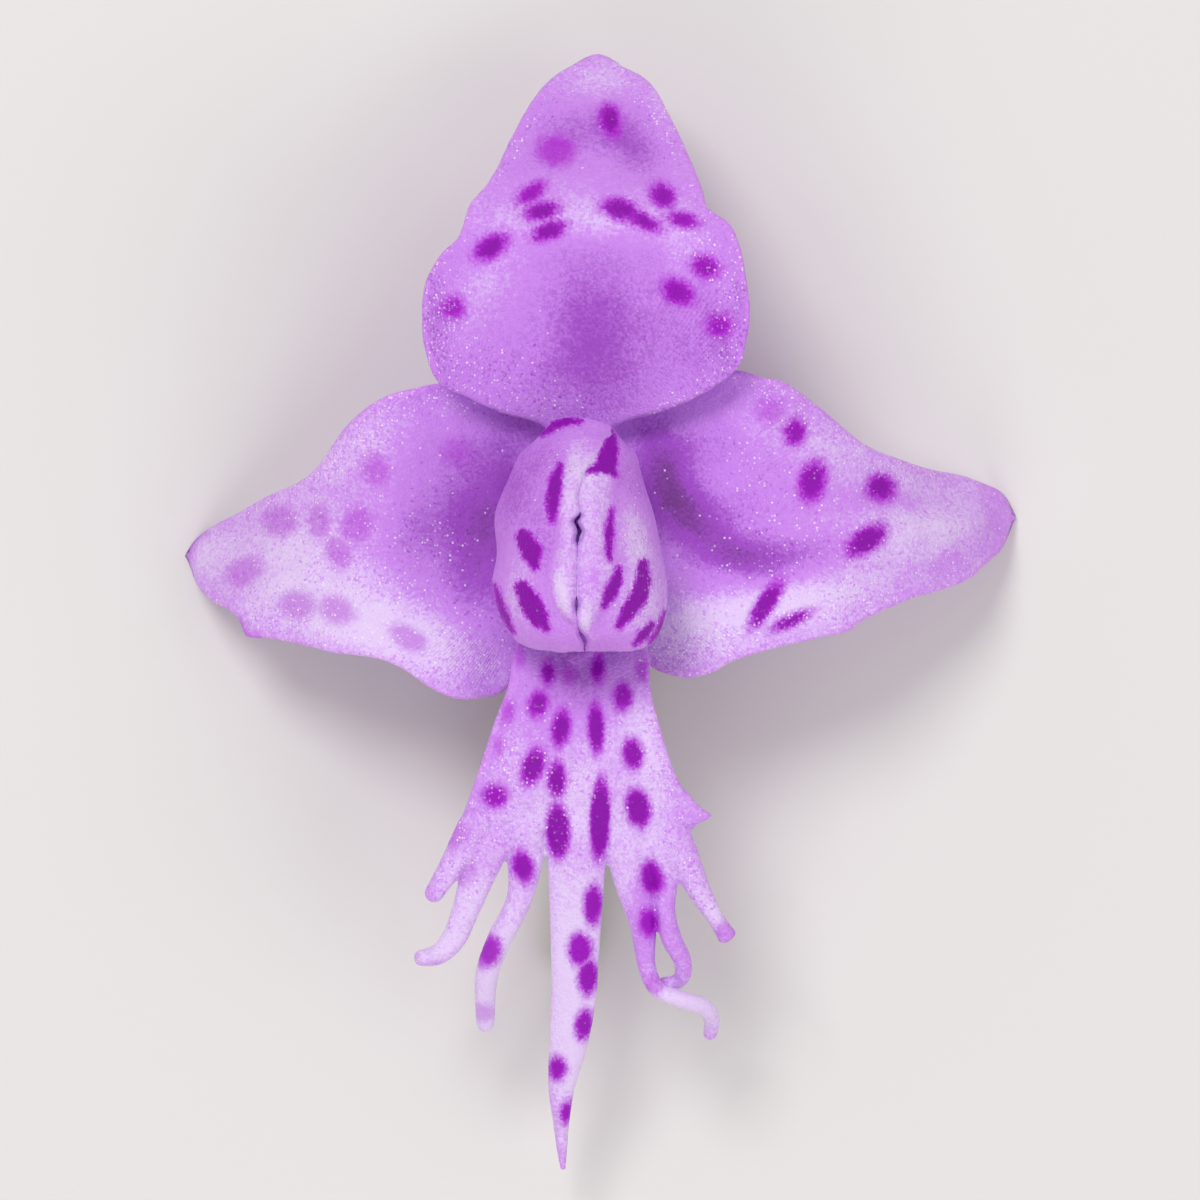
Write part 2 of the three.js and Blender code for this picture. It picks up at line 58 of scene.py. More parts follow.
# Measures that the solids have too, in millimetres
SOLID_BLADE = 0.6  # thickness of the solids' blades, whose back sheets the petals keep
MIDLINE_X = -0.46
COLUMN_Y = 1.05
SEAT_Z = 3.0  # top of the ovary, on which the other organs are seated
SEAT_RADIUS = 1.3
SEAT_GAP = 0.3
SAC_X = 0.29  # from the midline to the middle of each sac of the anther
ANTHER_Z = 5.62
ANTHER_Y = (1.35, 2.5)


# Sizes and colours that a user would change


def linear(hexes):
    """Turns an sRGB hex value into a linear colour."""
    channels = [int(hexes[i : i + 2], 16) / 255 for i in (0, 2, 4)]
    return (*[c / 12.92 if c <= 0.04045 else ((c + 0.055) / 1.055) ** 2.4 for c in channels], 1.0)


def thickness(name, description, default, low, high):
    """A length that is given in millimetres and kept in metres."""
    return bpy.props.FloatProperty(
        name=name,
        description=description,
        default=default * MM,
        min=low * MM,
        max=high * MM,
        unit="LENGTH",
        precision=5,
    )


def tint(name, description, hexes):
    """A colour with a picker in the panel."""
    return bpy.props.FloatVectorProperty(
        name=name, description=description, default=linear(hexes), size=4, min=0, max=1, subtype="COLOR"
    )


class FlowerSizes(bpy.types.PropertyGroup):
    """Thicknesses and surface grain of the flower."""

    middle: thickness("Petal thickness", "Sepals and lip away from their edges", 0.42, 0.2, 0.58)
    edge: thickness("Edge thickness", "Sepals and lip just inside their rounded edges", 0.24, 0.1, 0.5)
    hood: thickness("Hood thickness", "The two petals that form the hood", 0.36, 0.2, 0.55)
    cell: thickness("Surface cell", "Width of one raised cell of the petal surface", 0.05, 0.03, 0.2)


class FlowerColours(bpy.types.PropertyGroup):
    """Colours of the flower."""

    pale: tint("Pale tissue", "Outer parts of the sepals and the lobes of the lip", "EAD3FC")
    lilac: tint("Lilac tissue", "The common colour of sepals and petals", "D38FF0")
    deep: tint("Deep tissue", "The cup of the upper sepal and the roots of the others", "A850CA")
    # The darkest tone of the tissue: its own deep sap, and painted shade in the hollows beside the hood. The
    # ovary's purple wash uses it as sap.
    hollow_sap_and_shade: tint("Hollows", "Tissue right beside the hood", "7E3C92")
    spot: tint("Spots", "Sap of the coloured cells in the spots", "9000AC")
    spot_rim: tint("Spot edges", "Single coloured cells round a spot, and weak spots", "B816D6")
    glint: tint("Glints", "Light caught by the tops of single cells", "FFF2FF")
    stem: tint("Ovary", "Green tissue of the ovary and its stalk", "9CAE5E")
    stem_shade: tint("Ovary mottle", "Deeper green between the ribs of the ovary", "75863F")
    pollen: tint("Pollen", "Waxy pollen grains", "E4D79A")
    pollen_shade: tint("Pollen gaps", "Between the grains of pollen", "CDBB6C")
    floor: tint("Floor", "Plain floor under the flower", "E6E3E0")


def size(name):
    """A size from the panel, in millimetres."""
    return getattr(bpy.context.scene.flower_sizes, name) / MM


def colour(name):
    """A linear colour from the panel."""
    return tuple(getattr(bpy.context.scene.flower_colours, name))


# Curves and soft noise


def through(rows, column=1):
    """A smooth curve through rows of (position, value, ...), which reads arrays of positions."""
    at = np.array([row[0] for row in rows], float)
    value = np.array([row[column] for row in rows], float)
    slope = np.empty_like(value)
    slope[1:-1] = (value[2:] - value[:-2]) / (at[2:] - at[:-2])
    slope[0] = (value[1] - value[0]) / (at[1] - at[0])
    slope[-1] = (value[-1] - value[-2]) / (at[-1] - at[-2])

    def curve(x):
        x = np.clip(x, at[0], at[-1])
        i = np.clip(np.searchsorted(at, x) - 1, 0, len(at) - 2)
        span = at[i + 1] - at[i]
        t = (x - at[i]) / span
        rise = value[i] * (1 + 2 * t) * (1 - t) ** 2 + value[i + 1] * t**2 * (3 - 2 * t)
        return rise + span * (slope[i] * t * (1 - t) ** 2 - slope[i + 1] * t**2 * (1 - t))

    return curve


def lines_along(stations):
    """One smooth curve for each column of the stations, read by the share of the way along them."""
    shares = np.linspace(0, 1, len(stations))
    return [through(list(zip(shares, part))) for part in zip(*stations)]


def smooth(low, high, x):
    """0 below low, 1 above high, and an even rise between them."""
    t = np.clip((x - low) / (high - low), 0, 1)
    return t * t * (3 - 2 * t)


def bell(along, across=0.0):
    """1 in the middle, and a soft fall to almost nothing at 2."""
    return np.exp(-(along**2) - across**2)


def inward(share):
    """How far a share of the way is from the nearer of its ends."""
    return np.minimum(share, 1 - share)


def eased(share, ends=0.75):
    """Crowds shares towards both ends."""
    return (1 - ends) * share + ends * (1 - np.cos(np.pi * share)) / 2


def swell(x, y, cell, seed):
    """Soft seeded hills and hollows from -1 to 1, about one cell apart."""
    side = 64  # the hills repeat after this many cells
    heights = np.random.default_rng(seed).uniform(-1, 1, (side, side))
    gx, gy = np.asarray(x) / cell + side / 2, np.asarray(y) / cell + side / 2
    i, j = np.floor(gx).astype(int), np.floor(gy).astype(int)
    u, v = smooth(0, 1, gx - i), smooth(0, 1, gy - j)

    def at(a, b):
        return heights[(i + a) % side, (j + b) % side]

    return (at(0, 0) * (1 - u) + at(1, 0) * u) * (1 - v) + (at(0, 1) * (1 - u) + at(1, 1) * u) * v


# Making meshes


def select(*pieces):
    """Selects these pieces and nothing else. The first of them becomes the active one."""
    for obj in bpy.context.selected_objects:
        obj.select_set(False)
    for piece in pieces:
        piece.select_set(True)
    if pieces:
        bpy.context.view_layer.objects.active = pieces[0]


def read(made, key):
    """The place (co) or the normal of every point, one row a point."""
    flat = np.empty(len(made.data.vertices) * 3)
    made.data.vertices.foreach_get(key, flat)
    return flat.reshape(-1, 3)


def sheet(rows, columns, place):
    """Adds a grid and bends it: place(row share, column share) gives each point in millimetres."""
    select()
    bpy.ops.mesh.primitive_grid_add(x_subdivisions=columns, y_subdivisions=rows, size=2)
    made = bpy.context.active_object
    column, row = (read(made, "co")[:, :2].T + 1) / 2
    made.data.vertices.foreach_set("co", np.stack(place(row, column), axis=1).ravel())
    return made


def closed(name, sheets):
    """Joins sheets that share their rims into one closed skin whose faces point out."""
    select(*sheets)
    if len(sheets) > 1:
        bpy.ops.object.join()
    made = bpy.context.active_object
    made.name = made.data.name = name
    bpy.ops.object.mode_set(mode="EDIT")
    bpy.ops.mesh.select_all(action="SELECT")
    bpy.ops.mesh.remove_doubles(threshold=1e-5)
    bpy.ops.mesh.normals_make_consistent(inside=False)
    bpy.ops.object.mode_set(mode="OBJECT")
    return made


def melted(name, parts, voxel, rounds):
    """Melts closed skins that sink into each other into one smooth skin, whose faces are voxel wide."""
    made = closed(name, parts)
    made.data.remesh_voxel_size = voxel
    bpy.ops.object.voxel_remesh()
    soften = made.modifiers.new("soften", "SMOOTH")
    soften.factor = 0.5
    soften.iterations = rounds
    bpy.ops.object.modifier_apply(modifier=soften.name)
    return made


def to_metres(made):
    made.scale = (MM, MM, MM)
    select(made)
    bpy.ops.object.transform_apply(location=True, rotation=True, scale=True)
    bpy.ops.object.shade_smooth()


def tube(stations, rows, columns, deep=None):
    """A closed finger along (x, y, z, width) stations, with rounded ends.

    It is deep millimetres through, and round where deep isn't given."""
    middle = lines_along(stations)
    travel = sum(math.dist(a[:3], b[:3]) for a, b in zip(stations, stations[1:]))
    step = 1e-3

    def place(row, column):
        share = eased(row, 0.5)
        x, y, z, width = [line(share) for line in middle]
        ahead = np.stack([line(share + step) - line(share - step) for line in middle[:3]])
        ahead /= np.linalg.norm(ahead, axis=0)
        flat = np.hypot(ahead[0], ahead[1])
        side = np.stack([ahead[1], -ahead[0], np.zeros_like(flat)]) / flat
        front = np.stack([-ahead[2] * ahead[0] / flat, -ahead[2] * ahead[1] / flat, flat])
        nib = np.clip(inward(share) * travel / (width / 2), 0, 1)
        blunt = np.sqrt(1 - (1 - nib) ** 2)
        thick = width if deep is None else np.minimum(deep, 1.2 * width)
        angle = 2 * np.pi * column
        off = side * (blunt * width / 2 * np.cos(angle)) + front * (blunt * thick / 2 * np.sin(angle))
        return x + off[0], y + off[1], z + off[2]

    return closed("finger", [sheet(rows, columns, place)])


def blob(radii, at):
    """A small round swelling that is to be melted to its neighbours."""
    select()
    bpy.ops.mesh.primitive_uv_sphere_add(segments=24, ring_count=16, radius=1, location=at, scale=radii)
    bpy.ops.object.transform_apply(location=True, rotation=True, scale=True)
    return bpy.context.active_object


def points(made):
    """The piece's points in millimetres, once it is in metres."""
    return read(made, "co") / MM


def paint(made, name, values):
    """Keeps one number a point for the material to read."""
    layer = made.data.attributes.new(name, "FLOAT", "POINT")
    layer.data.foreach_set("value", np.asarray(values, np.float32))


# Blades of sepals and lip


def rim_of(place, count):
    """The outline of a sheet as (x, y) points, count of them along each of its four sides."""
    along, still = np.linspace(0, 1, count), np.zeros(count)
    sides = (along, still), (along, still + 1), (still, along), (still + 1, along)
    return np.concatenate([np.stack(place(*side), axis=1) for side in sides])


def blade(name, rows, columns, place, height, rim_points):
    """A thin blade whose back sheet is that of its solid, and whose front stands a thickness before it.

    It thins towards its edge and ends there in a round rim."""
    border = rim_of(place, rim_points)
    rim = 0.11  # width of the round rim
    margin = 1.4  # width of the part that thins
    step = 0.02

    def to_edge(x, y):
        nearest = np.full(x.shape, np.inf)
        few = 16  # a few points at a time, to spare memory
        for start in range(0, len(border), few):
            part = border[start : start + few]
            away = np.hypot(x[:, None] - part[:, 0], y[:, None] - part[:, 1])
            nearest = np.minimum(nearest, away.min(axis=1))
        return nearest

    def face(front):
        def point(row, column):
            x, y = place(row, column)
            slope = np.hypot(
                (height(x + step, y) - height(x - step, y)) / (2 * step),
                (height(x, y + step) - height(x, y - step)) / (2 * step),
            )
            upright = np.hypot(slope, 1)
            away = np.where(np.minimum(inward(row), inward(column)) < 1e-6, 0, to_edge(x, y))
            full = size("edge") + (size("middle") - size("edge")) * smooth(0, margin, away)
            round_rim = np.sqrt(1 - (1 - np.clip(away / rim, 0, 1)) ** 2)
            middle = height(x, y) + (full / 2 - SOLID_BLADE) * upright
            half = full / 2 * round_rim * upright
            return x, y, np.maximum(middle + half if front else middle - half, 0)

        return point

    return closed(name, [sheet(rows, columns, face(front)) for front in (True, False)])


def sepal(name, shape):
    """A sepal after its tables: see SEPALS."""
    low, high = through(shape["low"]), through(shape["high"])
    centre, ridge, lean = [through(shape["spine"], n) for n in (1, 2, 3)]
    rise_low, rise_high = [through(shape["rise"], n) for n in (1, 2)]
    axis, seed = shape["axis"], shape["seed"]
    start, end = shape["low"][0][0], shape["low"][-1][0]

    def ripple(out, line):
        """The uneven edge of the real sepal: shallow waves, and single cells on them."""
        still = out * 0 + line
        wander = swell(still, out, 0.45, seed) * 0.014 + swell(still, out, 0.09, seed) * 0.007
        return wander * smooth(start + 0.5, start + 2, out) * smooth(end, end - 0.8, out)

    def place(row, column):
        out = start + (end - start) * eased(row, 0.6)
        near, far = low(out) - ripple(out, 0.0), high(out) + ripple(out, 3.0)
        share = eased(column)
        out = out - shape["tip"] * (2 * share - 1) ** 2 * smooth(0.9, 1, row)
        return axis(out, near + share * (far - near))

    def height(x, y):
        out, across = axis(x, y)
        off = across - centre(out)
        curl = np.where(off < 0, rise_low(out), rise_high(out)) * np.abs(off / shape["half_width"]) ** 2.2
        return ridge(out) + lean(out) * off + curl + shape["relief"](out, off)

    return blade(name, 180, 120, place, height, 500)


def upwards(out, across):
    return across, out


def leftwards(out, across):
    return -out, across


def rightwards(out, across):
    return out, across


def dorsal_relief(out, off):
    """A faint keel up the middle, soft pleats across the cup and two shallow dents behind the crest."""
    keel = 0.10 * bell(off / 0.35) * smooth(8.3, 10.2, out)
    pleats = 0.02 * np.sin(2 * np.pi * (off + 0.35 * out) / 0.75)
    pleats = pleats * smooth(4.4, 5.4, out) * smooth(0.6, 2.4, off)
    dents = -0.14 * bell((off - 0.85) / 0.55, (out - 9.1) / 0.55)
    dents -= 0.10 * bell((off + 0.7) / 0.5, (out - 9.3) / 0.6)
    return keel + pleats + dents + 0.05 * swell(off, out, 1.3, 5)


def left_relief(out, off):
    """The slanting fold that runs out to the tip, and uneven swellings."""
    fold = 0.10 * bell((off + 0.25 * (out - 4)) / 0.3) * smooth(4.5, 6.5, out)
    return fold + 0.07 * swell(off, out, 1.1, 6) + 0.015 * swell(off, out, 0.35, 7)


def right_relief(out, off):
    """The fold that runs out to the tip, and uneven swellings."""
    fold = 0.16 * bell((off + 0.1) / 0.28) * smooth(4.4, 6.2, out) * (1 - smooth(7.6, 8.3, out))
    return fold + 0.07 * swell(off, out, 1.2, 8) + 0.015 * swell(off, out, 0.35, 9)


# Each sepal is described along a line that runs out from the column, in millimetres. low and high are its two
# edges as (distance out, position across). spine is (distance out, position across, height, slope across).
# rise is how much its two sides curl up besides at the given half width. axis turns (out, across) into (x, y)
# and back. tip is how far the corners of its end are drawn in. The rows of its cells fan out from root.
SEPALS = {
    "dorsal_sepal": {
        "low": [
            (2, -0.92), (3.3, -0.9), (3.72, -1.2), (3.94, -1.96), (4.26, -2.68), (4.54, -3.22), (5.2, -3.5),
            (5.94, -3.56), (6.6, -3.46), (7.12, -3.16), (7.42, -2.86), (7.78, -2.72), (8.14, -2.58),
            (8.54, -2.24), (9.4, -1.8), (9.96, -1.52), (10.4, -1.22), (10.64, -1), (10.8, -0.8),
            (10.98, -0.53), (11.1, -0.36), (11.16, -0.24),
        ],
        "high": [
            (2, 0.02), (3.3, 0.05), (3.72, 0.4), (4, 1.36), (4.3, 2.02), (4.82, 2.72), (5.32, 2.91),
            (6, 2.99), (6.86, 2.88), (7.36, 2.76), (7.72, 2.6), (8.04, 2.16), (8.34, 2.06), (8.9, 1.86),
            (9.7, 1.49), (10.2, 1.24), (10.47, 1.08), (10.68, 0.88), (10.84, 0.62), (10.94, 0.43),
            (11.04, 0.34), (11.16, 0.14),
        ],
        "spine": [
            (2, -0.45, 3.95, 0), (3, -0.42, 4.2, 0), (3.9, -0.38, 4.4, 0), (5.2, -0.34, 4.35, 0),
            (6.6, -0.28, 4.65, 0), (7.6, -0.22, 4.95, 0), (8.6, -0.14, 4.55, 0), (9.8, -0.06, 3.7, 0),
            (11.16, 0, 2.72, 0),
        ],
        "rise": [
            (2, 0, 0), (3.4, 0.2, 0.2), (4.2, 1.1, 1.1), (5.4, 1.3, 1.3), (6.6, 1, 1.05), (7.6, 0.55, 0.65),
            (8.6, 0.6, 0.6), (11.13, 1.2, 1.2),
        ],
        "half_width": 3.2,
        "axis": upwards,
        "relief": dorsal_relief,
        "tip": 0.05,
        "root": (2.6, -0.4),
        "seed": 21,
    },
    "lateral_sepal_left": {
        "low": [
            (0.85, 0.6), (1.2, 0), (1.5, -0.9), (1.9, -1.6), (2.4, -1.76), (2.84, -1.78), (3.3, -1.62),
            (3.9, -1.22), (4.4, -0.99), (5.2, -0.88), (6.2, -0.66), (6.6, -0.58), (7.04, -0.54),
            (7.14, -0.46), (7.24, -0.2), (7.46, 0), (7.76, 0.14), (7.98, 0.34), (8.19, 0.6), (8.3, 0.86),
            (8.36, 1.02),
        ],
        "high": [
            (0.85, 3.5), (1.05, 3.78), (1.35, 3.98), (1.8, 4.2), (2.3, 4.42), (2.9, 4.57), (3.3, 4.54),
            (3.72, 4.44), (4.26, 4.3), (4.62, 4.1), (4.86, 3.9), (5.16, 3.6), (5.44, 3.2), (5.7, 2.84),
            (6, 2.59), (6.5, 2.37), (6.85, 2.2), (7.32, 1.93), (7.66, 1.77), (8, 1.55), (8.24, 1.36),
            (8.32, 1.26), (8.36, 1.16),
        ],
        "spine": [
            (0.85, 1.05, 3.97, 0), (1.2, 1.05, 3.95, 0), (2, 1.1, 3.85, 0), (2.8, 1.2, 3.75, 0),
            (4.2, 1.25, 3.85, 0), (5.4, 1.2, 3.55, -0.05), (6.6, 1.1, 2.7, -0.2), (7.6, 1.07, 1.6, -0.45),
            (8.36, 1.07, 0.65, -0.5),
        ],
        "rise": [
            (0.85, 0, -0.5), (1.2, 0, -0.42), (2, 0.3, -0.1), (2.8, 0.65, 0.3), (4.2, 0.6, 0.6),
            (5.4, 0.6, 0.5), (6.6, 0.5, 0.2), (8.36, 0.5, -0.3),
        ],
        "half_width": 2.9,
        "axis": leftwards,
        "relief": left_relief,
        "tip": 0.06,
        "root": (0.9, 1.1),
        "seed": 22,
    },
    "lateral_sepal_right": {
        "low": [
            (0, 0.7), (0.3, 0.25), (0.55, -0.6), (1.04, -1.14), (1.4, -1.29), (1.77, -1.35), (2.2, -1.26),
            (2.69, -1.02), (3.6, -0.75), (4.28, -0.58), (4.89, -0.45), (5.3, -0.2), (6.06, 0.15),
            (7.38, 0.61), (7.88, 1.03), (8.06, 1.18), (8.26, 1.46), (8.34, 1.64), (8.38, 1.78),
        ],
        "high": [
            (0, 3.5), (0.2, 3.75), (0.5, 3.95), (0.9, 4.14), (1.3, 4.28), (2.1, 4.6), (2.72, 4.8),
            (3.2, 4.66), (3.73, 4.54), (4.4, 4.05), (5.26, 3.36), (6, 3.03), (6.6, 2.83), (7.3, 2.7),
            (7.85, 2.5), (8.14, 2.35), (8.3, 2.17), (8.36, 2.04), (8.38, 1.94),
        ],
        "spine": [
            (0, 1.05, 3.97, 0), (0.3, 1.05, 3.95, 0), (1.1, 1.1, 3.85, 0), (2, 1.3, 3.75, 0),
            (3.4, 1.5, 3.85, 0), (4.8, 1.6, 3.6, -0.05), (6.2, 1.75, 2.8, -0.2), (7.4, 1.85, 1.65, -0.45),
            (8.38, 1.9, 0.65, -0.5),
        ],
        "rise": [
            (0, 0, -0.45), (0.3, 0, -0.36), (1.1, 0.3, -0.08), (2, 0.65, 0.35), (3.4, 0.65, 0.75),
            (4.8, 0.6, 0.5), (6.2, 0.5, 0.2), (8.38, 0.5, -0.3),
        ],
        "half_width": 2.9,
        "axis": rightwards,
        "relief": right_relief,
        "tip": 0.07,
        "root": (0.0, 1.2),
        "seed": 23,
    },
}


# Colour of the tissue

# Spots as (x, y, length, width, tilt, strength), in millimetres and in degrees counter-clockwise from +X
SPOTS = {
    "dorsal_sepal": [
        (0.2, 9.82, 0.52, 0.36, 100, 1), (-0.88, 9.2, 0.6, 0.5, 0, 0.62), (-1.38, 8.34, 0.5, 0.26, 35, 0.8),
        (-1.16, 7.98, 0.6, 0.3, 10, 1), (-1.02, 7.58, 0.62, 0.3, 20, 1), (-2.18, 7.26, 0.62, 0.38, 35, 0.95),
        (-2.94, 6.04, 0.38, 0.34, 0, 0.76), (0.42, 8, 0.66, 0.36, -15, 1), (0.86, 7.78, 0.6, 0.26, -28, 1),
        (1.26, 8.28, 0.46, 0.36, -45, 0.9), (1.66, 7.8, 0.5, 0.24, -15, 0.85),
        (2.12, 6.86, 0.48, 0.36, -20, 0.85), (1.56, 6.36, 0.56, 0.4, -30, 0.85),
        (2.38, 5.68, 0.4, 0.34, 0, 0.76),
    ],
    "lateral_sepal_left": [
        (-4.5, 2.82, 0.52, 0.42, 110, 0.9), (-2.88, 3.18, 0.46, 0.4, 0, 0.66),
        (-6.44, 1.78, 0.56, 0.5, 0, 0.95), (-5.62, 1.78, 0.48, 0.32, 90, 0.95),
        (-4.88, 1.7, 0.54, 0.44, 70, 0.95), (-5.26, 1.16, 0.48, 0.36, 110, 1),
        (-7.14, 0.78, 0.6, 0.42, 25, 0.9), (-6.06, 0.1, 0.58, 0.42, -5, 0.95),
        (-5.28, 0, 0.56, 0.4, -20, 0.95), (-3.84, -0.56, 0.64, 0.34, -30, 0.95),
    ],
    "lateral_sepal_right": [
        (3.9, 3.56, 0.44, 0.36, 90, 0.85), (3.42, 3.98, 0.42, 0.4, 0, 0.42),
        (4.26, 2.58, 0.72, 0.46, 75, 0.9), (5.64, 2.46, 0.5, 0.46, 0, 0.95), (5.34, 1.4, 0.8, 0.42, 33, 0.95),
        (3.32, 0.12, 1, 0.32, 58, 0.95), (3.82, -0.22, 0.66, 0.2, 25, 0.9),
    ],
    "lip": [
        (-1.6, -0.94, 0.26, 0.13, 90, 0.45), (-1.04, -1.26, 0.38, 0.22, 90, 0.9),
        (-0.62, -1.3, 0.26, 0.2, 90, 0.5), (-0.04, -1.18, 0.44, 0.22, 90, 0.9),
        (0.84, -1.18, 0.28, 0.18, 90, 0.55), (-1.24, -1.88, 0.44, 0.32, 80, 0.9),
        (0.46, -1.74, 0.46, 0.32, 90, 0.85), (-1.84, -2.06, 0.32, 0.18, 75, 0.55),
        (-0.78, -2.36, 0.66, 0.32, 82, 1), (-0.08, -2.36, 0.9, 0.28, 92, 1),
        (-2.02, -2.72, 0.22, 0.14, 90, 0.45), (-1.34, -3.14, 0.68, 0.38, 70, 0.95),
        (-0.86, -3.4, 0.62, 0.33, 88, 0.95), (0.66, -2.88, 0.54, 0.36, 95, 0.9),
        (-2.1, -3.72, 0.42, 0.38, 0, 0.8), (0.76, -3.96, 0.7, 0.44, 100, 0.95),
        (-0.84, -4.42, 1.02, 0.44, 92, 1), (0, -4.18, 1.54, 0.37, 88, 1),
        (-1.54, -5.14, 0.56, 0.36, 105, 0.9), (1.04, -5.36, 0.6, 0.4, 100, 0.85),
        (-0.14, -5.9, 0.7, 0.32, 88, 0.85), (0.98, -6.26, 0.48, 0.32, 90, 0.8),
        (-2.22, -6.84, 0.54, 0.4, 70, 0.75), (-0.4, -6.8, 0.58, 0.42, 90, 0.8),
        (-0.24, -7.36, 0.62, 0.34, 85, 0.85), (-0.32, -8.32, 0.52, 0.3, 80, 0.85),
        (-0.86, -9.2, 0.38, 0.3, 90, 0.85), (-0.66, -10.08, 0.36, 0.22, 75, 0.8),
        (1.08, -7.5, 0.3, 0.3, 0, 0.45), (-2.34, -8.08, 0.3, 0.26, 0, 0.35),
        (-2.86, -4.52, 0.42, 0.3, 60, 0.35), (-2.66, -5.3, 0.36, 0.26, 60, 0.35),
        (2.56, -6.44, 0.4, 0.35, 0, 0.4),
    ],
}

# Long and bent spots as strokes of (x, y, half width), in millimetres
STROKES = {
    "lateral_sepal_left": [
        [(-8.0, 1.58, 0.02), (-8.24, 1.36, 0.035), (-8.36, 1.1, 0.035)],
        [(-7.24, -0.26, 0.02), (-7.13, -0.5, 0.03), (-6.9, -0.56, 0.02)],
    ],
    "petal_left": [
        [(-1.14, 3.52, 0.04), (-0.9, 3.7, 0.08), (-0.65, 3.78, 0.085), (-0.4, 3.76, 0.04)],
        [(-0.8, 2.88, 0.05), (-0.89, 2.59, 0.12), (-0.94, 2.16, 0.13), (-0.96, 1.77, 0.05)],
        [(-1.51, 1.45, 0.15), (-1.37, 1.16, 0.2), (-1.3, 0.88, 0.08)],
        [(-1.55, 0.45, 0.13), (-1.4, 0.16, 0.2), (-1.21, -0.16, 0.17), (-1.06, -0.37, 0.06)],
        [(-2.1, 0.49, 0.03), (-2.01, 0.16, 0.07), (-1.9, -0.12, 0.08), (-1.73, -0.44, 0.03)],
    ],
    "petal_right": [
        [(0.14, 3.62, 0.03), (0.24, 3.44, 0.09), (0.2, 3.2, 0.16), (0.14, 2.94, 0.2)],
        [(-0.28, 2.76, 0.03), (0.08, 2.88, 0.13)],
        [(0.16, 2.86, 0.15), (0.31, 2.7, 0.04)],
        [(0.23, 2.02, 0.02), (0.18, 1.56, 0.08), (0.18, 1.13, 0.05), (0.2, 1.0, 0.02)],
        [(0.38, 0.84, 0.03), (0.33, 0.56, 0.11), (0.2, 0.31, 0.12), (0.08, 0.09, 0.05)],
        [
            (0.86, 0.91, 0.09), (0.86, 0.59, 0.14), (0.78, 0.27, 0.16), (0.58, -0.01, 0.15),
            (0.38, -0.32, 0.05),
        ],
        [(1.04, -0.3, 0.06), (0.88, -0.48, 0.1), (0.7, -0.68, 0.04)],
        [(1.3, -0.02, 0.02), (1.2, -0.36, 0.06), (1.02, -0.66, 0.04)],
    ],
}
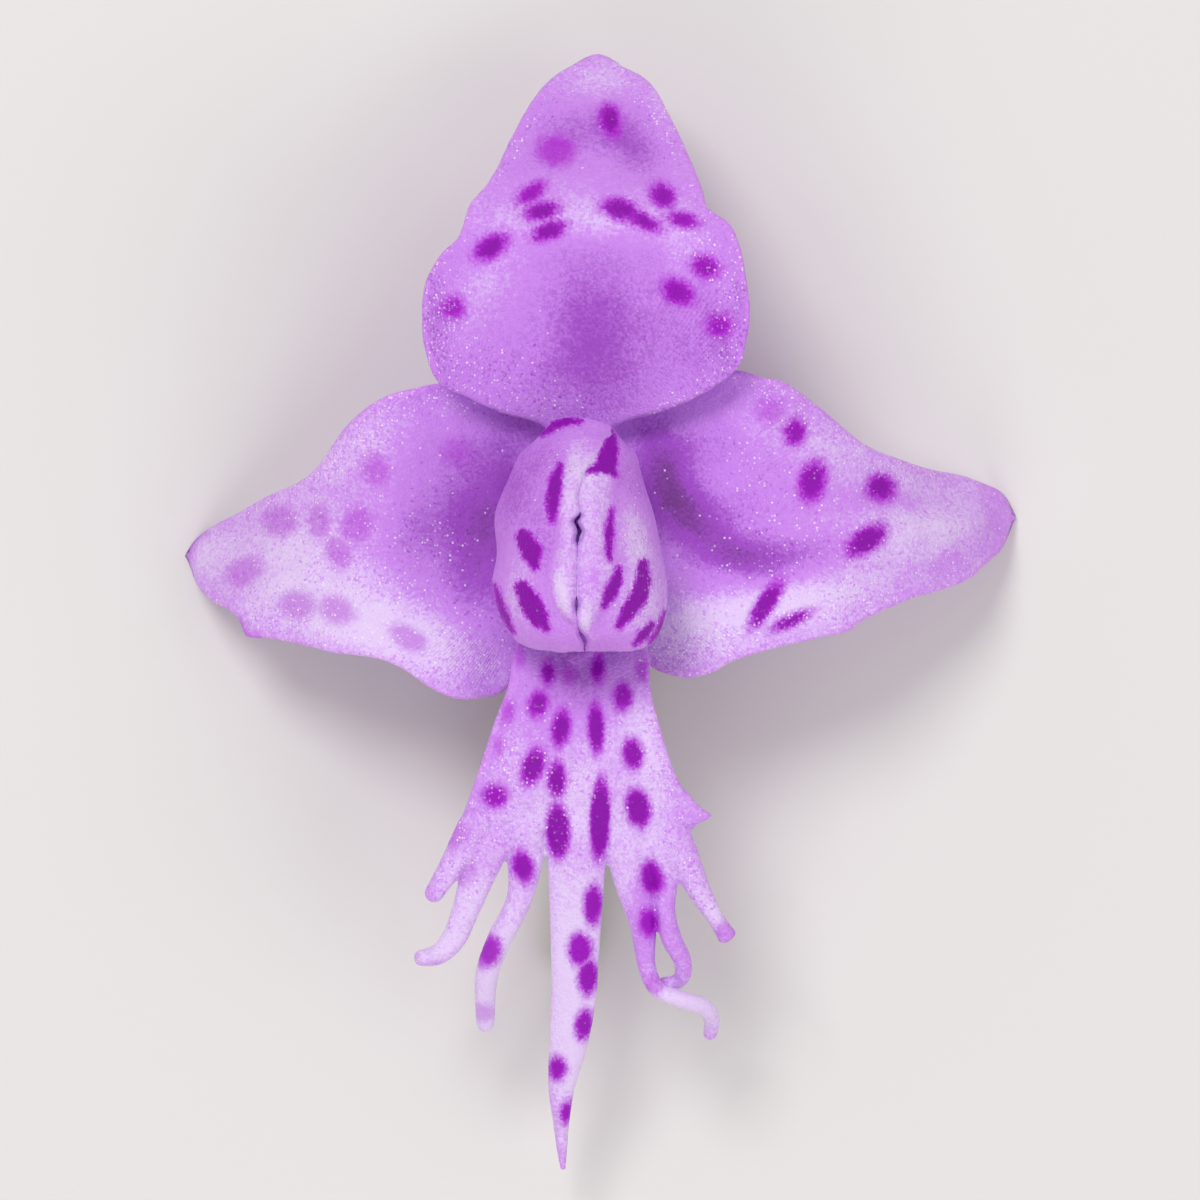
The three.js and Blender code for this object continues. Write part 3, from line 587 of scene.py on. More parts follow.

# Soft patches of deeper (above 0) or paler (below 0) colour: mostly the tissue's own flush, and in the places
# marked below painted shade and painted light: (x, y, half length, half width, tilt, strength)
FLUSH_SHADE_AND_LIGHT = {
    "dorsal_sepal": [
        # (-0.1, 4) pales the base of the cup a little, as painted light against the hood's shadow
        (-0.1, 5.4, 1.8, 1.2, 90, 0.85), (-0.1, 4, 1.9, 0.5, 0, -0.05), (-3.2, 5.7, 1.2, 0.4, 95, 0.35),
        # (0.6, 9.3) and (-0.7, 9.35) are painted shade in the two dents behind the crest
        (2.3, 5.5, 1.4, 1, 90, 0.35), (0.6, 9.3, 0.8, 0.5, -35, 0.65), (-0.7, 9.35, 0.9, 0.5, 20, 0.4),
        (-0.3, 7.85, 2.4, 0.5, 0, -0.45), (-0.1, 10.7, 0.9, 0.5, 0, -0.4), (-2.2, 6.5, 1.2, 0.6, 60, -0.25),
        (1.3, 10.2, 0.7, 0.3, -60, -0.3), (1.7, 7.2, 1, 0.6, -40, -0.25), (-0.2, 9.8, 1.2, 0.4, 0, 0.2),
        (-1.7, 4.7, 1.3, 0.6, 0, 0.22),
    ],
    "lateral_sepal_left": [
        # (-2.3, 1.5) and (-1.7, 3.3) darken the hollow beside the hood: its deep sap, and painted shade
        (-2.3, 1.5, 1.7, 0.85, 78, 1.15), (-3.3, 1.8, 1.2, 0.8, 20, 0.45), (-1.7, 3.3, 1.2, 0.7, 60, 0.35),
        (-6.2, 0.9, 2, 1.5, 5, -0.62), (-4.6, -0.3, 1.6, 0.7, -10, -0.75), (-4.9, 3.2, 1.6, 0.7, 35, -0.4),
        (-3.1, -0.9, 1.3, 0.8, -15, -0.65), (-7.9, 1.2, 0.5, 0.7, 0, -0.25), (-2.9, 3.1, 0.9, 0.5, 0, 0.15),
        (-1.8, 0, 0.9, 0.4, 80, 0.3),
    ],
    "lateral_sepal_right": [
        # (1.3, 2.6), (2.1, 1.65) and (3, 1.05) darken the hollow beside the hood: its deep sap, and painted
        # shade
        (1.3, 2.6, 1.2, 0.55, 105, 1.35), (2.1, 1.65, 1, 0.6, -45, 1.15), (3, 1.05, 0.9, 0.4, -8, 0.9),
        (6.4, 1.7, 2, 1.2, 0, -0.6), (3.9, 0.2, 2, 0.4, 8, -0.7), (4.3, 3.4, 1.6, 0.7, -25, -0.35),
        (2, -0.5, 1.4, 0.8, 10, -0.7), (8, 1.9, 0.4, 0.9, 0, 0.15), (4.2, 1.2, 1.1, 0.35, 8, 0.5),
        # (5.9, 2.2) is painted shade along the upper side of the fold
        (3.4, 2.1, 1.6, 0.5, -5, 0.2), (5.9, 2.2, 1.2, 0.3, -4, 0.4), (7, 1, 0.9, 0.3, 25, 0.25),
        (1.7, 3.2, 0.9, 0.5, 0, 0.4), (4.4, -0.3, 1.5, 0.35, 12, -0.4),
    ],
    "petal_left": [
        (-1.75, 2.3, 1.2, 0.45, 80, 0.5), (-1.1, 3.1, 0.9, 0.4, 60, 0.35), (-0.5, 3.15, 0.6, 0.4, 90, -0.3),
        (-1.6, 0.3, 1, 0.5, 90, -0.3), (-1.2, -0.5, 0.7, 0.3, -20, 0.1), (-1.2, 1.4, 1, 0.28, 90, 0.4),
        (-0.8, 0.3, 0.6, 0.16, 97, -0.45),
    ],
    "petal_right": [
        # (0.75, 1.5) is painted light on the right flank of the hood, which turns away from the lamps
        (0.8, 2.4, 1, 0.35, 100, 0.4), (-0.1, 2.9, 0.5, 0.3, 60, -0.2), (0.75, 1.5, 0.8, 0.35, 95, -0.7),
        (0.9, 0.2, 0.8, 0.6, 90, -0.45), (0.3, -0.6, 0.9, 0.3, 15, 0.15), (-0.28, -0.2, 0.3, 0.15, 90, -0.4),
        (-0.1, 0.65, 0.35, 0.2, 90, 0.15),
    ],
    "lip": [
        # (-0.4, -0.9) and (-0.4, -1.6) are painted shadow of the hood on the root of the lip
        (-0.4, -0.9, 1.3, 0.55, 0, 0.35), (-0.4, -1.6, 1, 0.8, 90, 0.5), (-0.4, -4.2, 3, 2, 90, -0.5),
        (-0.4, -4.9, 0.5, 0.5, 0, 0.35), (2.4, -6.2, 0.8, 0.4, -60, -0.3), (-2.3, -8, 0.8, 0.4, 80, -0.2),
        (-0.5, -8.4, 3.2, 0.8, 90, -0.85), (-1.4, -2.9, 1.4, 0.7, 70, -0.2), (-2, -7.6, 1.4, 0.6, 80, -1),
        (1.8, -8, 1.2, 0.6, 0, -0.9), (-3, -5.2, 0.9, 0.5, 60, -0.35), (2.1, -5.8, 1.2, 0.4, -60, -0.35),
        (-3.3, -6.8, 0.7, 0.4, 20, -0.5), (1.3, -7.2, 0.5, 0.5, 0, -0.1), (1, -4.8, 1.2, 0.6, 90, -0.2),
        (-2.7, -6, 1.2, 0.6, 62, -0.5), (-1.2, -2.6, 1, 0.5, 80, 0.35), (0.9, -2.7, 1.3, 0.4, -75, -0.4),
        (0.85, -5.9, 0.7, 0.25, 95, 0.3),
    ],
}

# Patches where the raised cells glint, among single cells darkened as painted shade, given as the patches of
# flush, shade and light are
SPARKLES = {
    "dorsal_sepal": [
        (-3.2, 5.8, 1.6, 0.45, 93, 1), (2.6, 5.6, 1.7, 0.35, 88, 0.8), (1, 10.1, 1.2, 0.25, -60, 0.7),
        (-1.5, 9.6, 1.6, 0.22, 58, 0.7), (-1.9, 4.6, 1.9, 0.6, -30, 0.45), (1.9, 4.3, 1.4, 0.35, 30, 0.8),
        (2.1, 7.3, 0.8, 0.3, -70, 0.6), (0.2, 10.9, 0.6, 0.2, 0, 0.4),
    ],
    "lateral_sepal_left": [
        (-4.5, 3.7, 2, 0.45, 42, 1), (-6.6, 2.3, 1.5, 0.25, 25, 0.8), (-2.7, -1, 1.4, 0.7, -10, 1),
        (-6.4, -0.2, 1.8, 0.35, -10, 0.7), (-5, 1, 2.4, 1.6, 0, 0.35), (-4.6, 0.4, 1.4, 0.4, -10, 0.35),
        (-3, 4.2, 1.2, 0.3, 0, 0.7),
    ],
    "lateral_sepal_right": [
        (3.7, 4.3, 1.9, 0.35, -35, 1), (3.2, 3, 0.9, 0.5, -20, 0.4), (6.6, 2.8, 1.7, 0.25, -8, 0.55),
        (1.8, -0.7, 1.4, 0.55, 8, 1), (4.4, 0, 2, 0.35, 15, 0.7), (4.4, 1.2, 2.4, 1.6, 0, 0.3),
        (7.4, 1, 1.2, 0.35, 30, 0.4),
    ],
    "petal_left": [(-0.6, 3.2, 0.5, 0.4, 90, 0.3)],
    "petal_right": [(0.75, 1.7, 0.7, 0.25, 95, 0.7), (1.0, 0.5, 0.9, 0.3, 90, 0.2)],
    "lip": [
        (-2.1, -3.6, 1.6, 0.5, 65, 0.8), (1.3, -3.4, 1.6, 0.35, -65, 0.6), (-0.9, -4.1, 0.9, 0.4, 90, 0.6),
        (-2.8, -5.4, 1.1, 0.5, 60, 0.5), (1, -1.5, 0.8, 0.3, -70, 0.4), (-0.5, -3.6, 1.6, 1, 90, 0.25),
        (1.9, -5.3, 1, 0.3, -60, 0.4),
    ],
}

# Patches where the rows of cells show as fine furrows, both as bumps and as painted shade, given as the
# patches of flush, shade and light are
FURROWS = {
    "dorsal_sepal": [(2.1, 6.0, 1.7, 0.9, 60, 0.6)],
    "lateral_sepal_left": [(-2.7, -0.9, 1.1, 0.6, -10, 1), (-4.4, 3.2, 0.8, 0.4, 35, 0.3)],
    "lateral_sepal_right": [(1.8, -0.7, 1.1, 0.5, 8, 0.8), (3.6, 3.0, 1.2, 0.5, -20, 0.3)],
}


def in_patch(x, y, patch):
    """How far along and across a tilted patch each point lies, as shares of the patch's two measures."""
    middle_x, middle_y, length, width, tilt = patch[:5]
    angle = math.radians(tilt)
    dx, dy = x - middle_x, y - middle_y
    along = dx * math.cos(angle) + dy * math.sin(angle)
    across = dy * math.cos(angle) - dx * math.sin(angle)
    return along / length, across / width


def patches(x, y, rows):
    """The sum of soft patches, each of which has faded to a third at its half length and half width."""
    total = np.zeros(len(x))
    for patch in rows:
        along, across = in_patch(x, y, patch)
        total += patch[5] * np.exp(-1.2 * (along**2 + across**2))
    return total


def stroke_depth(x, y, stroke):
    """About the millimetres that a point lies inside a stroke."""
    near = np.full(len(x), -1.0)
    for (ax, ay, ar), (bx, by, br) in zip(stroke, stroke[1:]):
        share = ((x - ax) * (bx - ax) + (y - ay) * (by - ay)) / ((bx - ax) ** 2 + (by - ay) ** 2)
        share = np.clip(share, 0, 1)
        away = np.hypot(x - ax - share * (bx - ax), y - ay - share * (by - ay))
        near = np.maximum(near, ar + share * (br - ar) - away)
    return near


# The petals of the hood, and which side of the slit each is on
HOOD_SIDES = {"petal_left": -1, "petal_right": 1}


def stain(made, node, grain):
    """Paints the spots, the flush with its painted shade and painted light, and the glints of one piece, and
    the run of its rows of cells.
    """
    x, y, z = points(made).T
    near = np.full(len(x), -1.0)
    strength = np.ones(len(x))
    for patch in SPOTS.get(node, ()):
        along, across = in_patch(x, y, patch)
        radius = (patch[2] * patch[3]) ** 0.5 / 2
        inside = (1 - 2 * np.hypot(along, across)) * radius  # about the millimetres inside the spot's edge
        strength = np.where(inside > near, patch[5], strength)
        near = np.maximum(near, inside)
    for stroke in STROKES.get(node, ()):
        near = np.maximum(near, stroke_depth(x, y, stroke))
    flush = patches(x, y, FLUSH_SHADE_AND_LIGHT[node])
    if node in HOOD_SIDES:  # the swollen edge along the slit is pale, with a line of painted shade along its border, where the crease is
        side = HOOD_SIDES[node]
        within = side * (through(SWOLLEN[side])(y) - x)
        there = smooth(3.5, 2.9, y) * smooth(-0.55, -0.2, y)
        flush += there * (0.15 * bell((within + 0.1) / 0.12) - 0.34 * smooth(-0.08, 0.16, within))
    paint(made, "spot_depth", near)
    paint(made, "spot_strength", strength)
    paint(made, "flush", flush)
    paint(made, "sparkle", np.clip(patches(x, y, SPARKLES[node]), 0, 1))
    paint(made, "furrow", patches(x, y, FURROWS.get(node, ())))
    paint(made, "behind", smooth(0.1, -0.3, read(made, "normal")[:, 2]))
    layer = made.data.attributes.new("grain", "FLOAT_VECTOR", "POINT")
    along, across = grain(x, y)
    layer.data.foreach_set("vector", np.stack([along, across, z], axis=1).astype(np.float32).ravel())


ROW_STRETCH = 1.7  # how much longer than wide every pattern is along the rows of cells
FAN_OUT = 4.0  # where the rows of a sepal have their full width, in millimetres from its root


def straight_rows(x, y):
    """Rows of cells that run along Y: the place along the row, and which row it is."""
    return y / ROW_STRETCH, x


def fanned_rows(out, across, root):
    """Rows of cells that spread from a sepal's root."""
    along, aside = out - root[0], across - root[1]
    return np.hypot(along, aside) / ROW_STRETCH, FAN_OUT * np.arctan2(aside, along)


# Materials


def add_node(tree, kind, inputs=None, out=0, **settings):
    """Adds a node with its settings and a value or a link for each input. Returns the output asked for."""
    made = tree.nodes.new("ShaderNode" + kind)
    for key, value in settings.items():
        setattr(made, key, value)
    for slot, value in (inputs or {}).items():
        if isinstance(value, bpy.types.NodeSocket):
            tree.links.new(value, made.inputs[slot])
        else:
            made.inputs[slot].default_value = value
    return made if out is None else made.outputs[out]


def new_material(name):
    made = bpy.data.materials.new(name)
    made.use_nodes = True
    made.node_tree.nodes.clear()
    return made, made.node_tree


# Where each colour of the tissue stands on the scale of the painted flush, shade and light, and the ends of
# that scale
TONES = {"pale": -0.8, "lilac": 0.0, "deep": 0.95, "hollow_sap_and_shade": 1.8}
TONE_ENDS = (-1.0, 2.0)

# Widths of the patterns of the tissue, in millimetres. The real rows of cells are 0.045 mm apart. They are
# drawn further apart, so that the render shows them.
MOTTLE = 0.9
STREAK = 0.085
FURROW = 0.08
FLAT_CELL = 0.06
WAVE = 0.314  # the spacing of a Wave Texture's bands at a scale of 1


def petal_tissue(name, ragged, soft):
    """Orchid petal: a skin of raised domed cells over thin watery tissue.

    Each cell is a little lens, so the surface is satiny, grainy close up and glints at single cells. Light
    that enters comes out again nearby, which softens all shading. Coloured sap fills whole cells, so a spot
    has an edge made of single dark cells: ragged says how uneven it is, and soft how wide it fades, in
    millimetres."""
    made, tree = new_material(name)
    add = functools.partial(add_node, tree)

    rows = add("Attribute", out="Vector", attribute_name="grain")
    flush, spot_depth, spot_strength, sparkle, furrow, behind = [
        add("Attribute", out="Fac", attribute_name=key)
        for key in ("flush", "spot_depth", "spot_strength", "sparkle", "furrow", "behind")
    ]
    where = add("TexCoord", out="Object")
    cells = add("TexVoronoi", {"Vector": where, "Scale": 1 / (size("cell") * MM)}, out=None).outputs
    cell = add("SeparateColor", {"Color": cells["Color"]}, out=None).outputs
    mottle = add("TexNoise", {"Vector": where, "Scale": 1 / (MOTTLE * MM), "Detail": 4.0}, out="Fac")
    drawn = add("Mapping", {"Vector": rows, "Scale": (0.3, 1.0, 1.0)})  # longer again along the rows
    streak = add("TexNoise", {"Vector": drawn, "Scale": 1 / STREAK, "Detail": 3.0}, out="Fac")
    waves = {"Vector": rows, "Scale": WAVE / FURROW, "Distortion": 2.5, "Detail": 2.0}
    furrows = add("TexWave", waves, out="Fac", bands_direction="Y")
    furrows = add("Math", {0: furrows, 1: furrow}, operation="MULTIPLY")
    # Single cells in the glinting patches, which darken the tone below as painted shade
    shaded_cells = add("Math", {0: sparkle, 1: 0.3}, operation="MULTIPLY")
    shaded_cells = add("Math", {0: cell["Blue"], 1: shaded_cells}, operation="LESS_THAN")

    # The tissue between the spots: the painted flush with its painted shade and light, uneven from place to
    # place and from cell to cell. Painted shade darkens the furrows and the dull cells among the glinting
    # ones
    tone = flush
    for pattern, share in ((mottle, 0.5), (streak, 0.25), (cell["Red"], 0.35), (furrows, 0.3), (shaded_cells, 0.3)):
        tone = add("Math", {0: pattern, 1: share, 2: tone}, operation="MULTIPLY_ADD")
    low, high = TONE_ENDS
    added = 0.55  # what the patterns add at their mean
    place = add("MapRange", {"Value": tone, "From Min": low + added, "From Max": high + added})
    scale = add("ValToRGB", {"Fac": place}, out=None)
    scale.color_ramp.interpolation = "EASE"
    stops = scale.color_ramp.elements
    for key, at in TONES.items():
        stops.new((at - low) / (high - low)).color = colour(key)
    stops.remove(stops[0])
    stops.remove(stops[len(stops) - 1])
    base = scale.outputs["Color"]

    # Spots: a halo of single coloured cells, and a full heart in a strong one. They are weaker behind.
    depth = spot_depth
    for pattern, share in ((cell["Blue"], 0.1 * ragged), (streak, 0.14 * ragged)):
        depth = add("Math", {0: pattern, 1: share, 2: depth}, operation="MULTIPLY_ADD")
    edge = 0.12 * ragged  # what the patterns add at their mean
    fade = add("MapRange", {"Value": behind, "To Min": 1.0, "To Max": 0.45})
    strength = add("Math", {0: spot_strength, 1: fade}, operation="MULTIPLY")
    full = {"Value": strength, "From Min": 0.55, "From Max": 1.0}
    for tint_name, start, end, weight in (
        ("spot_rim", -1.6, 0.5, add("Math", {0: strength, 1: 1.25}, operation="MULTIPLY", use_clamp=True)),
        ("spot", -0.4, 0.9, add("MapRange", full, interpolation_type="SMOOTHSTEP")),
    ):
        span = {"Value": depth, "From Min": edge + start * soft, "From Max": edge + end * soft}
        inside = add("MapRange", span, interpolation_type="SMOOTHSTEP")
        share = add("Math", {0: inside, 1: weight}, operation="MULTIPLY")
        base = add("Mix", {0: share, 6: base, 7: colour(tint_name)}, out=2, data_type="RGBA")

    # Glints at the tops of single cells, few of them bright, and hardly any on the spots
    chance = add("Math", {0: sparkle, 1: 0.5, 2: cell["Red"]}, operation="MULTIPLY_ADD")
    lit = add("Math", {0: chance, 1: 0.995}, operation="GREATER_THAN")
    top = add("MapRange", {"Value": cells["Distance"], "From Min": 0.6, "From Max": 0.3})
    bright = add("Math", {0: cell["Green"], 1: 2.0}, operation="POWER")
    bright = add("MapRange", {"Value": bright, "To Min": 0.12, "To Max": 0.95})
    clear = add("MapRange", {"Value": share, "To Min": 1.0, "To Max": 0.25})
    glint = lit
    for factor in (top, bright, clear):
        glint = add("Math", {0: glint, 1: factor}, operation="MULTIPLY")
    base = add("Mix", {0: glint, 6: base, 7: colour("glint")}, out=2, data_type="RGBA")

    dome = add("MapRange", {"Value": cells["Distance"], "From Min": 0.75, "From Max": 0.0})
    bumps = add("Bump", {"Strength": 0.8, "Distance": 0.016 * MM, "Height": dome})
    roll = add("Math", {0: streak, 1: furrows}, operation="ADD")
    roll = add("Bump", {"Strength": 0.5, "Distance": 0.02 * MM, "Height": roll, "Normal": bumps})
    skin = add("BsdfPrincipled", {
        "Base Color": base,
        "Normal": roll,
        "Roughness": add("MapRange", {"Value": glint, "To Min": 0.5, "To Max": 0.25}),
        "IOR": 1.4,
        "Specular IOR Level": 0.3,
        "Subsurface Weight": 0.3,
        "Subsurface Scale": 0.25 * MM,
        "Subsurface Radius": (1.0, 0.55, 0.9),
    })
    add("OutputMaterial", {"Surface": skin}, out=None)
    return made


def plain_tissue(name, tint_name, second, grain, rough, scatter):
    """Smooth moist plant tissue with a faint mottle of two tints, whose patches are grain millimetres wide.

    Its skin is made of flat cells, which give it a faint orange-peel gloss. Purple sap washes over it where
    the piece's own wash attribute says so."""
    made, tree = new_material(name)
    add = functools.partial(add_node, tree)
    where = add("TexCoord", out="Object")
    mottle = add("TexNoise", {"Vector": where, "Scale": 1 / (grain * MM), "Detail": 4.0}, out="Fac")
    mottle = add("MapRange", {"Value": mottle, "From Min": 0.3, "From Max": 0.7})
    base = add("Mix", {0: mottle, 6: colour(tint_name), 7: colour(second)}, out=2, data_type="RGBA")
    wash = add("Attribute", out="Fac", attribute_name="wash")
    base = add("Mix", {0: wash, 6: base, 7: colour("hollow_sap_and_shade")}, out=2, data_type="RGBA")
    cells = add("TexVoronoi", {"Vector": where, "Scale": 1 / (FLAT_CELL * MM)}, out="Distance")
    skin = add("BsdfPrincipled", {
        "Base Color": base,
        "Normal": add("Bump", {"Strength": 0.4, "Distance": 0.012 * MM, "Height": cells}, invert=True),
        "Roughness": rough,
        "IOR": 1.4,
        "Subsurface Weight": scatter,
        "Subsurface Scale": 0.3 * MM,
        "Subsurface Radius": (1.0, 0.8, 0.6),
    })
    add("OutputMaterial", {"Surface": skin}, out=None)
    return made


def finish_piece(made, node, material):
    """Gives the piece its material, and takes the place of its node."""
    made.data.materials.clear()
    made.data.materials.append(material)
    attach(made, "root")
    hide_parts(node)


def dress(made, node, grain, tissue):
    """Finishes a petal, a sepal or the lip, whose rows of cells run as grain says."""
    to_metres(made)
    stain(made, node, grain)
    finish_piece(made, node, tissue)


# Hood

# (y, left foot, right foot, height of the crest, height of the feet), from the mouth of the hood to its top
HOOD = [
    (-0.85, -1.35, 0.82, 6.3, 5.6), (-0.55, -1.74, 1.12, 6.72, 5.2), (-0.1, -2, 1.31, 7, 4.75),
    (0.5, -2.15, 1.34, 7.2, 4.5), (1.13, -2.06, 1.24, 7.2, 4.4), (1.9, -2.1, 1.08, 7, 4.4),
    (2.6, -1.84, 0.86, 6.65, 4.5), (3.1, -1.62, 0.74, 6.25, 4.62), (3.4, -1.46, 0.64, 5.95, 4.75),
    (3.62, -1.22, 0.5, 5.65, 4.85), (3.86, -0.98, 0.24, 5.3, 4.95),
]
# The line where the two petals meet, as (y, x). Above y = 2.4 the left one laps over the right one.
SLIT_LINE = [
    (-0.85, -0.31), (-0.6, -0.31), (-0.4, -0.42), (-0.2, -0.46), (0.1, -0.47), (0.6, -0.46), (1.1, -0.45),
    (1.36, -0.45), (1.46, -0.44), (1.56, -0.4), (1.66, -0.44), (1.77, -0.49), (1.84, -0.44), (1.92, -0.39),
    (2.1, -0.42), (2.4, -0.42), (2.74, -0.3), (3.2, -0.08), (3.62, 0.14), (3.86, 0.2),
]
# Half the width of the slit: it gapes in two places and at its foot, and is pressed shut elsewhere
GAPE = [
    (-0.85, 0), (-0.7, 0.015), (-0.56, 0.035), (-0.42, 0.006), (-0.28, -0.02), (-0.06, -0.012), (0.06, 0.012),
    (0.18, 0.008), (0.32, -0.015), (1.2, -0.02), (1.3, -0.004), (1.38, 0.014), (1.47, 0.018), (1.57, 0.034),
    (1.68, 0.022), (1.78, 0.026), (1.86, 0.016), (1.93, -0.01), (2, -0.025), (3.86, -0.025),
]
# Along the slit each petal has a swollen pale edge. Its outer border on either side, as (y, x)
SWOLLEN = {
    -1: [
        (-0.85, -0.5), (-0.3, -0.52), (-0.16, -0.68), (0.16, -0.86), (0.46, -0.93), (0.72, -0.97),
        (1.14, -0.9), (1.52, -0.83), (2.18, -0.86), (2.7, -0.78), (3.1, -0.7), (3.86, -0.6),
    ],
    1: [
        (-0.85, -0.1), (-0.34, -0.14), (0.1, 0.08), (0.5, 0.2), (0.84, 0.29), (1.08, 0.17), (1.5, 0.12),
        (1.98, 0.2), (2.5, 0.27), (2.9, 0.32), (3.86, 0.36),
    ],
}


def hood_petal(name, side):
    """One half of the hood: a curved shell from the slit to its foot, with a swollen edge at the slit."""
    left, right, crest, foot = [through(HOOD, n) for n in (1, 2, 3, 4)]
    slit, gape, border = through(SLIT_LINE), through(GAPE), through(SWOLLEN[side])
    outer_foot = left if side < 0 else right
    mouth, top = HOOD[0][0], HOOD[-1][0]

    def skin(row, column):
        """The outer face, by the share of the way from mouth to top and from slit to foot."""
        start = mouth + 0.16 * column**4 + 0.6 * column**12  # round corners beside the mouth
        y = start + (top - start) * np.sin(np.pi / 2 * row) ** 0.95
        tucked = smooth(2.3, 2.8, y)  # the right petal goes under the left one
        jagged = 0.035 * swell(0 * y, y, 0.09, 34) * tucked * (side < 0)
        edge = slit(y) + side * gape(y) + tucked * (0.03 if side < 0 else -0.1) + jagged
        reach = np.abs(outer_foot(y) - edge)
        angle = np.pi / 2 * column**1.15
        turned_in = 0.18 * smooth(0.8, 1, column) ** 2  # the foot turns inwards
        off = reach / 0.96 * np.sin(angle) * (1 - turned_in)
        share = off / np.maximum(np.abs(border(y) - edge), 0.1)
        there = smooth(3.3, 2.6, y) * smooth(-0.5, -0.12, y)
        swollen = np.where(
            share < 0.5, np.sin(np.pi * share), np.cos(np.pi / 1.6 * np.clip(share - 0.5, 0, 0.8)) ** 2
        )
        band = 0.13 * swollen * there
        under = 0.1 * tucked * (side > 0) * (1 - smooth(0, 0.2, off))
        # The edge dips into the slit, most where it gapes, and droops at the mouth
        valley = (0.04 + 0.14 * smooth(-0.015, 0.02, gape(y))) * (1 - smooth(0, 0.11, off)) * (1 - tucked)
        lips = 0.06 * smooth(-0.4, -0.85, y) * smooth(0.5, 0, off)
        relief = 0.03 * swell(side * off, y, 0.8, 31) + 0.012 * swell(side * off, y, 0.3, 32)
        arch = foot(y) + (crest(y) - foot(y)) * np.cos(angle) ** 0.85
        x = edge + side * off
        rounded = 0.35 * (x + 0.5) ** 2 * smooth(3.0, top, y)  # the top of the hood is round
        ragged = 0.02 * swell(x, 0 * x, 0.25, 33) * smooth(-0.5, mouth, y)
        return np.stack([x, y - rounded + ragged, arch + band + relief - valley - under - lips])

    def face(front):
        def place(row, column):
            row, column = eased(row, 0.3), eased(column, 0.5)
            here = skin(row, column)
            if front:
                return tuple(here)
            step = 2e-3
            along = skin(np.minimum(row + step, 1), column) - skin(np.maximum(row - step, 0), column)
            across = skin(row, np.minimum(column + step, 1)) - skin(row, np.maximum(column - step, 0))
            normal = np.cross(across.T, along.T).T * side
            normal /= np.linalg.norm(normal, axis=0) + 1e-9
            rim = np.minimum(inward(row), inward(column))
            return tuple(here - normal * size("hood") * np.minimum(1, 12 * rim))

        return place

    shell = closed("shell", [sheet(110, 90, face(front)) for front in (True, False)])
    # The narrow foot at the back of the petal, inside the hood's top
    x = -0.85 if side < 0 else 0.12
    inwards = 0.05 if side < 0 else -0.1
    claw = tube([(x, 3.55, 5.05, 0.5), (x, 2.95, 4.8, 0.6), (x + inwards, 2.3, 4.66, 0.5)], 24, 16, 0.32)
    return melted(name, [shell, claw], 0.032, 2)


# Lip

# (y, left edge, right edge, height, rise of both edges), from the tip of the middle lobe upwards
LIP = [
    (-11.13, -3, 1.86, 1.8, 0), (-10, -3, 1.86, 2.3, 0), (-8, -3, 1.86, 3.2, 0), (-6, -3, 1.86, 4.1, 0),
    (-4.9, -3, 1.84, 4.52, -0.08), (-4.64, -2.98, 1.8, 4.61, -0.07), (-4.5, -2.93, 1.84, 4.66, -0.06),
    (-4.36, -2.88, 1.98, 4.7, -0.06), (-4.27, -2.85, 2.16, 4.73, -0.05), (-4.2, -2.82, 2.26, 4.75, -0.05),
    (-4.1, -2.78, 2.12, 4.77, -0.05), (-3.9, -2.7, 1.9, 4.82, -0.04), (-3.6, -2.6, 1.72, 4.9, 0),
    (-3.28, -2.48, 1.58, 4.96, 0.05), (-2.26, -2.12, 1.22, 5.02, 0.14), (-1.54, -1.84, 1.02, 4.98, 0.18),
    (-0.76, -1.68, 0.94, 4.84, 0.2), (-0.3, -1.3, 0.4, 4.68, 0.05),
]
# Where the plate of the lip ends between the roots of its lobes, as (x, y)
LIP_HEM = [
    (-3, -5), (-2.6, -5.2), (-1.89, -5), (-1.1, -4.72), (-0.46, -4.95), (0.16, -5.02), (1, -5.35),
    (1.5, -5.4), (1.8, -5),
]
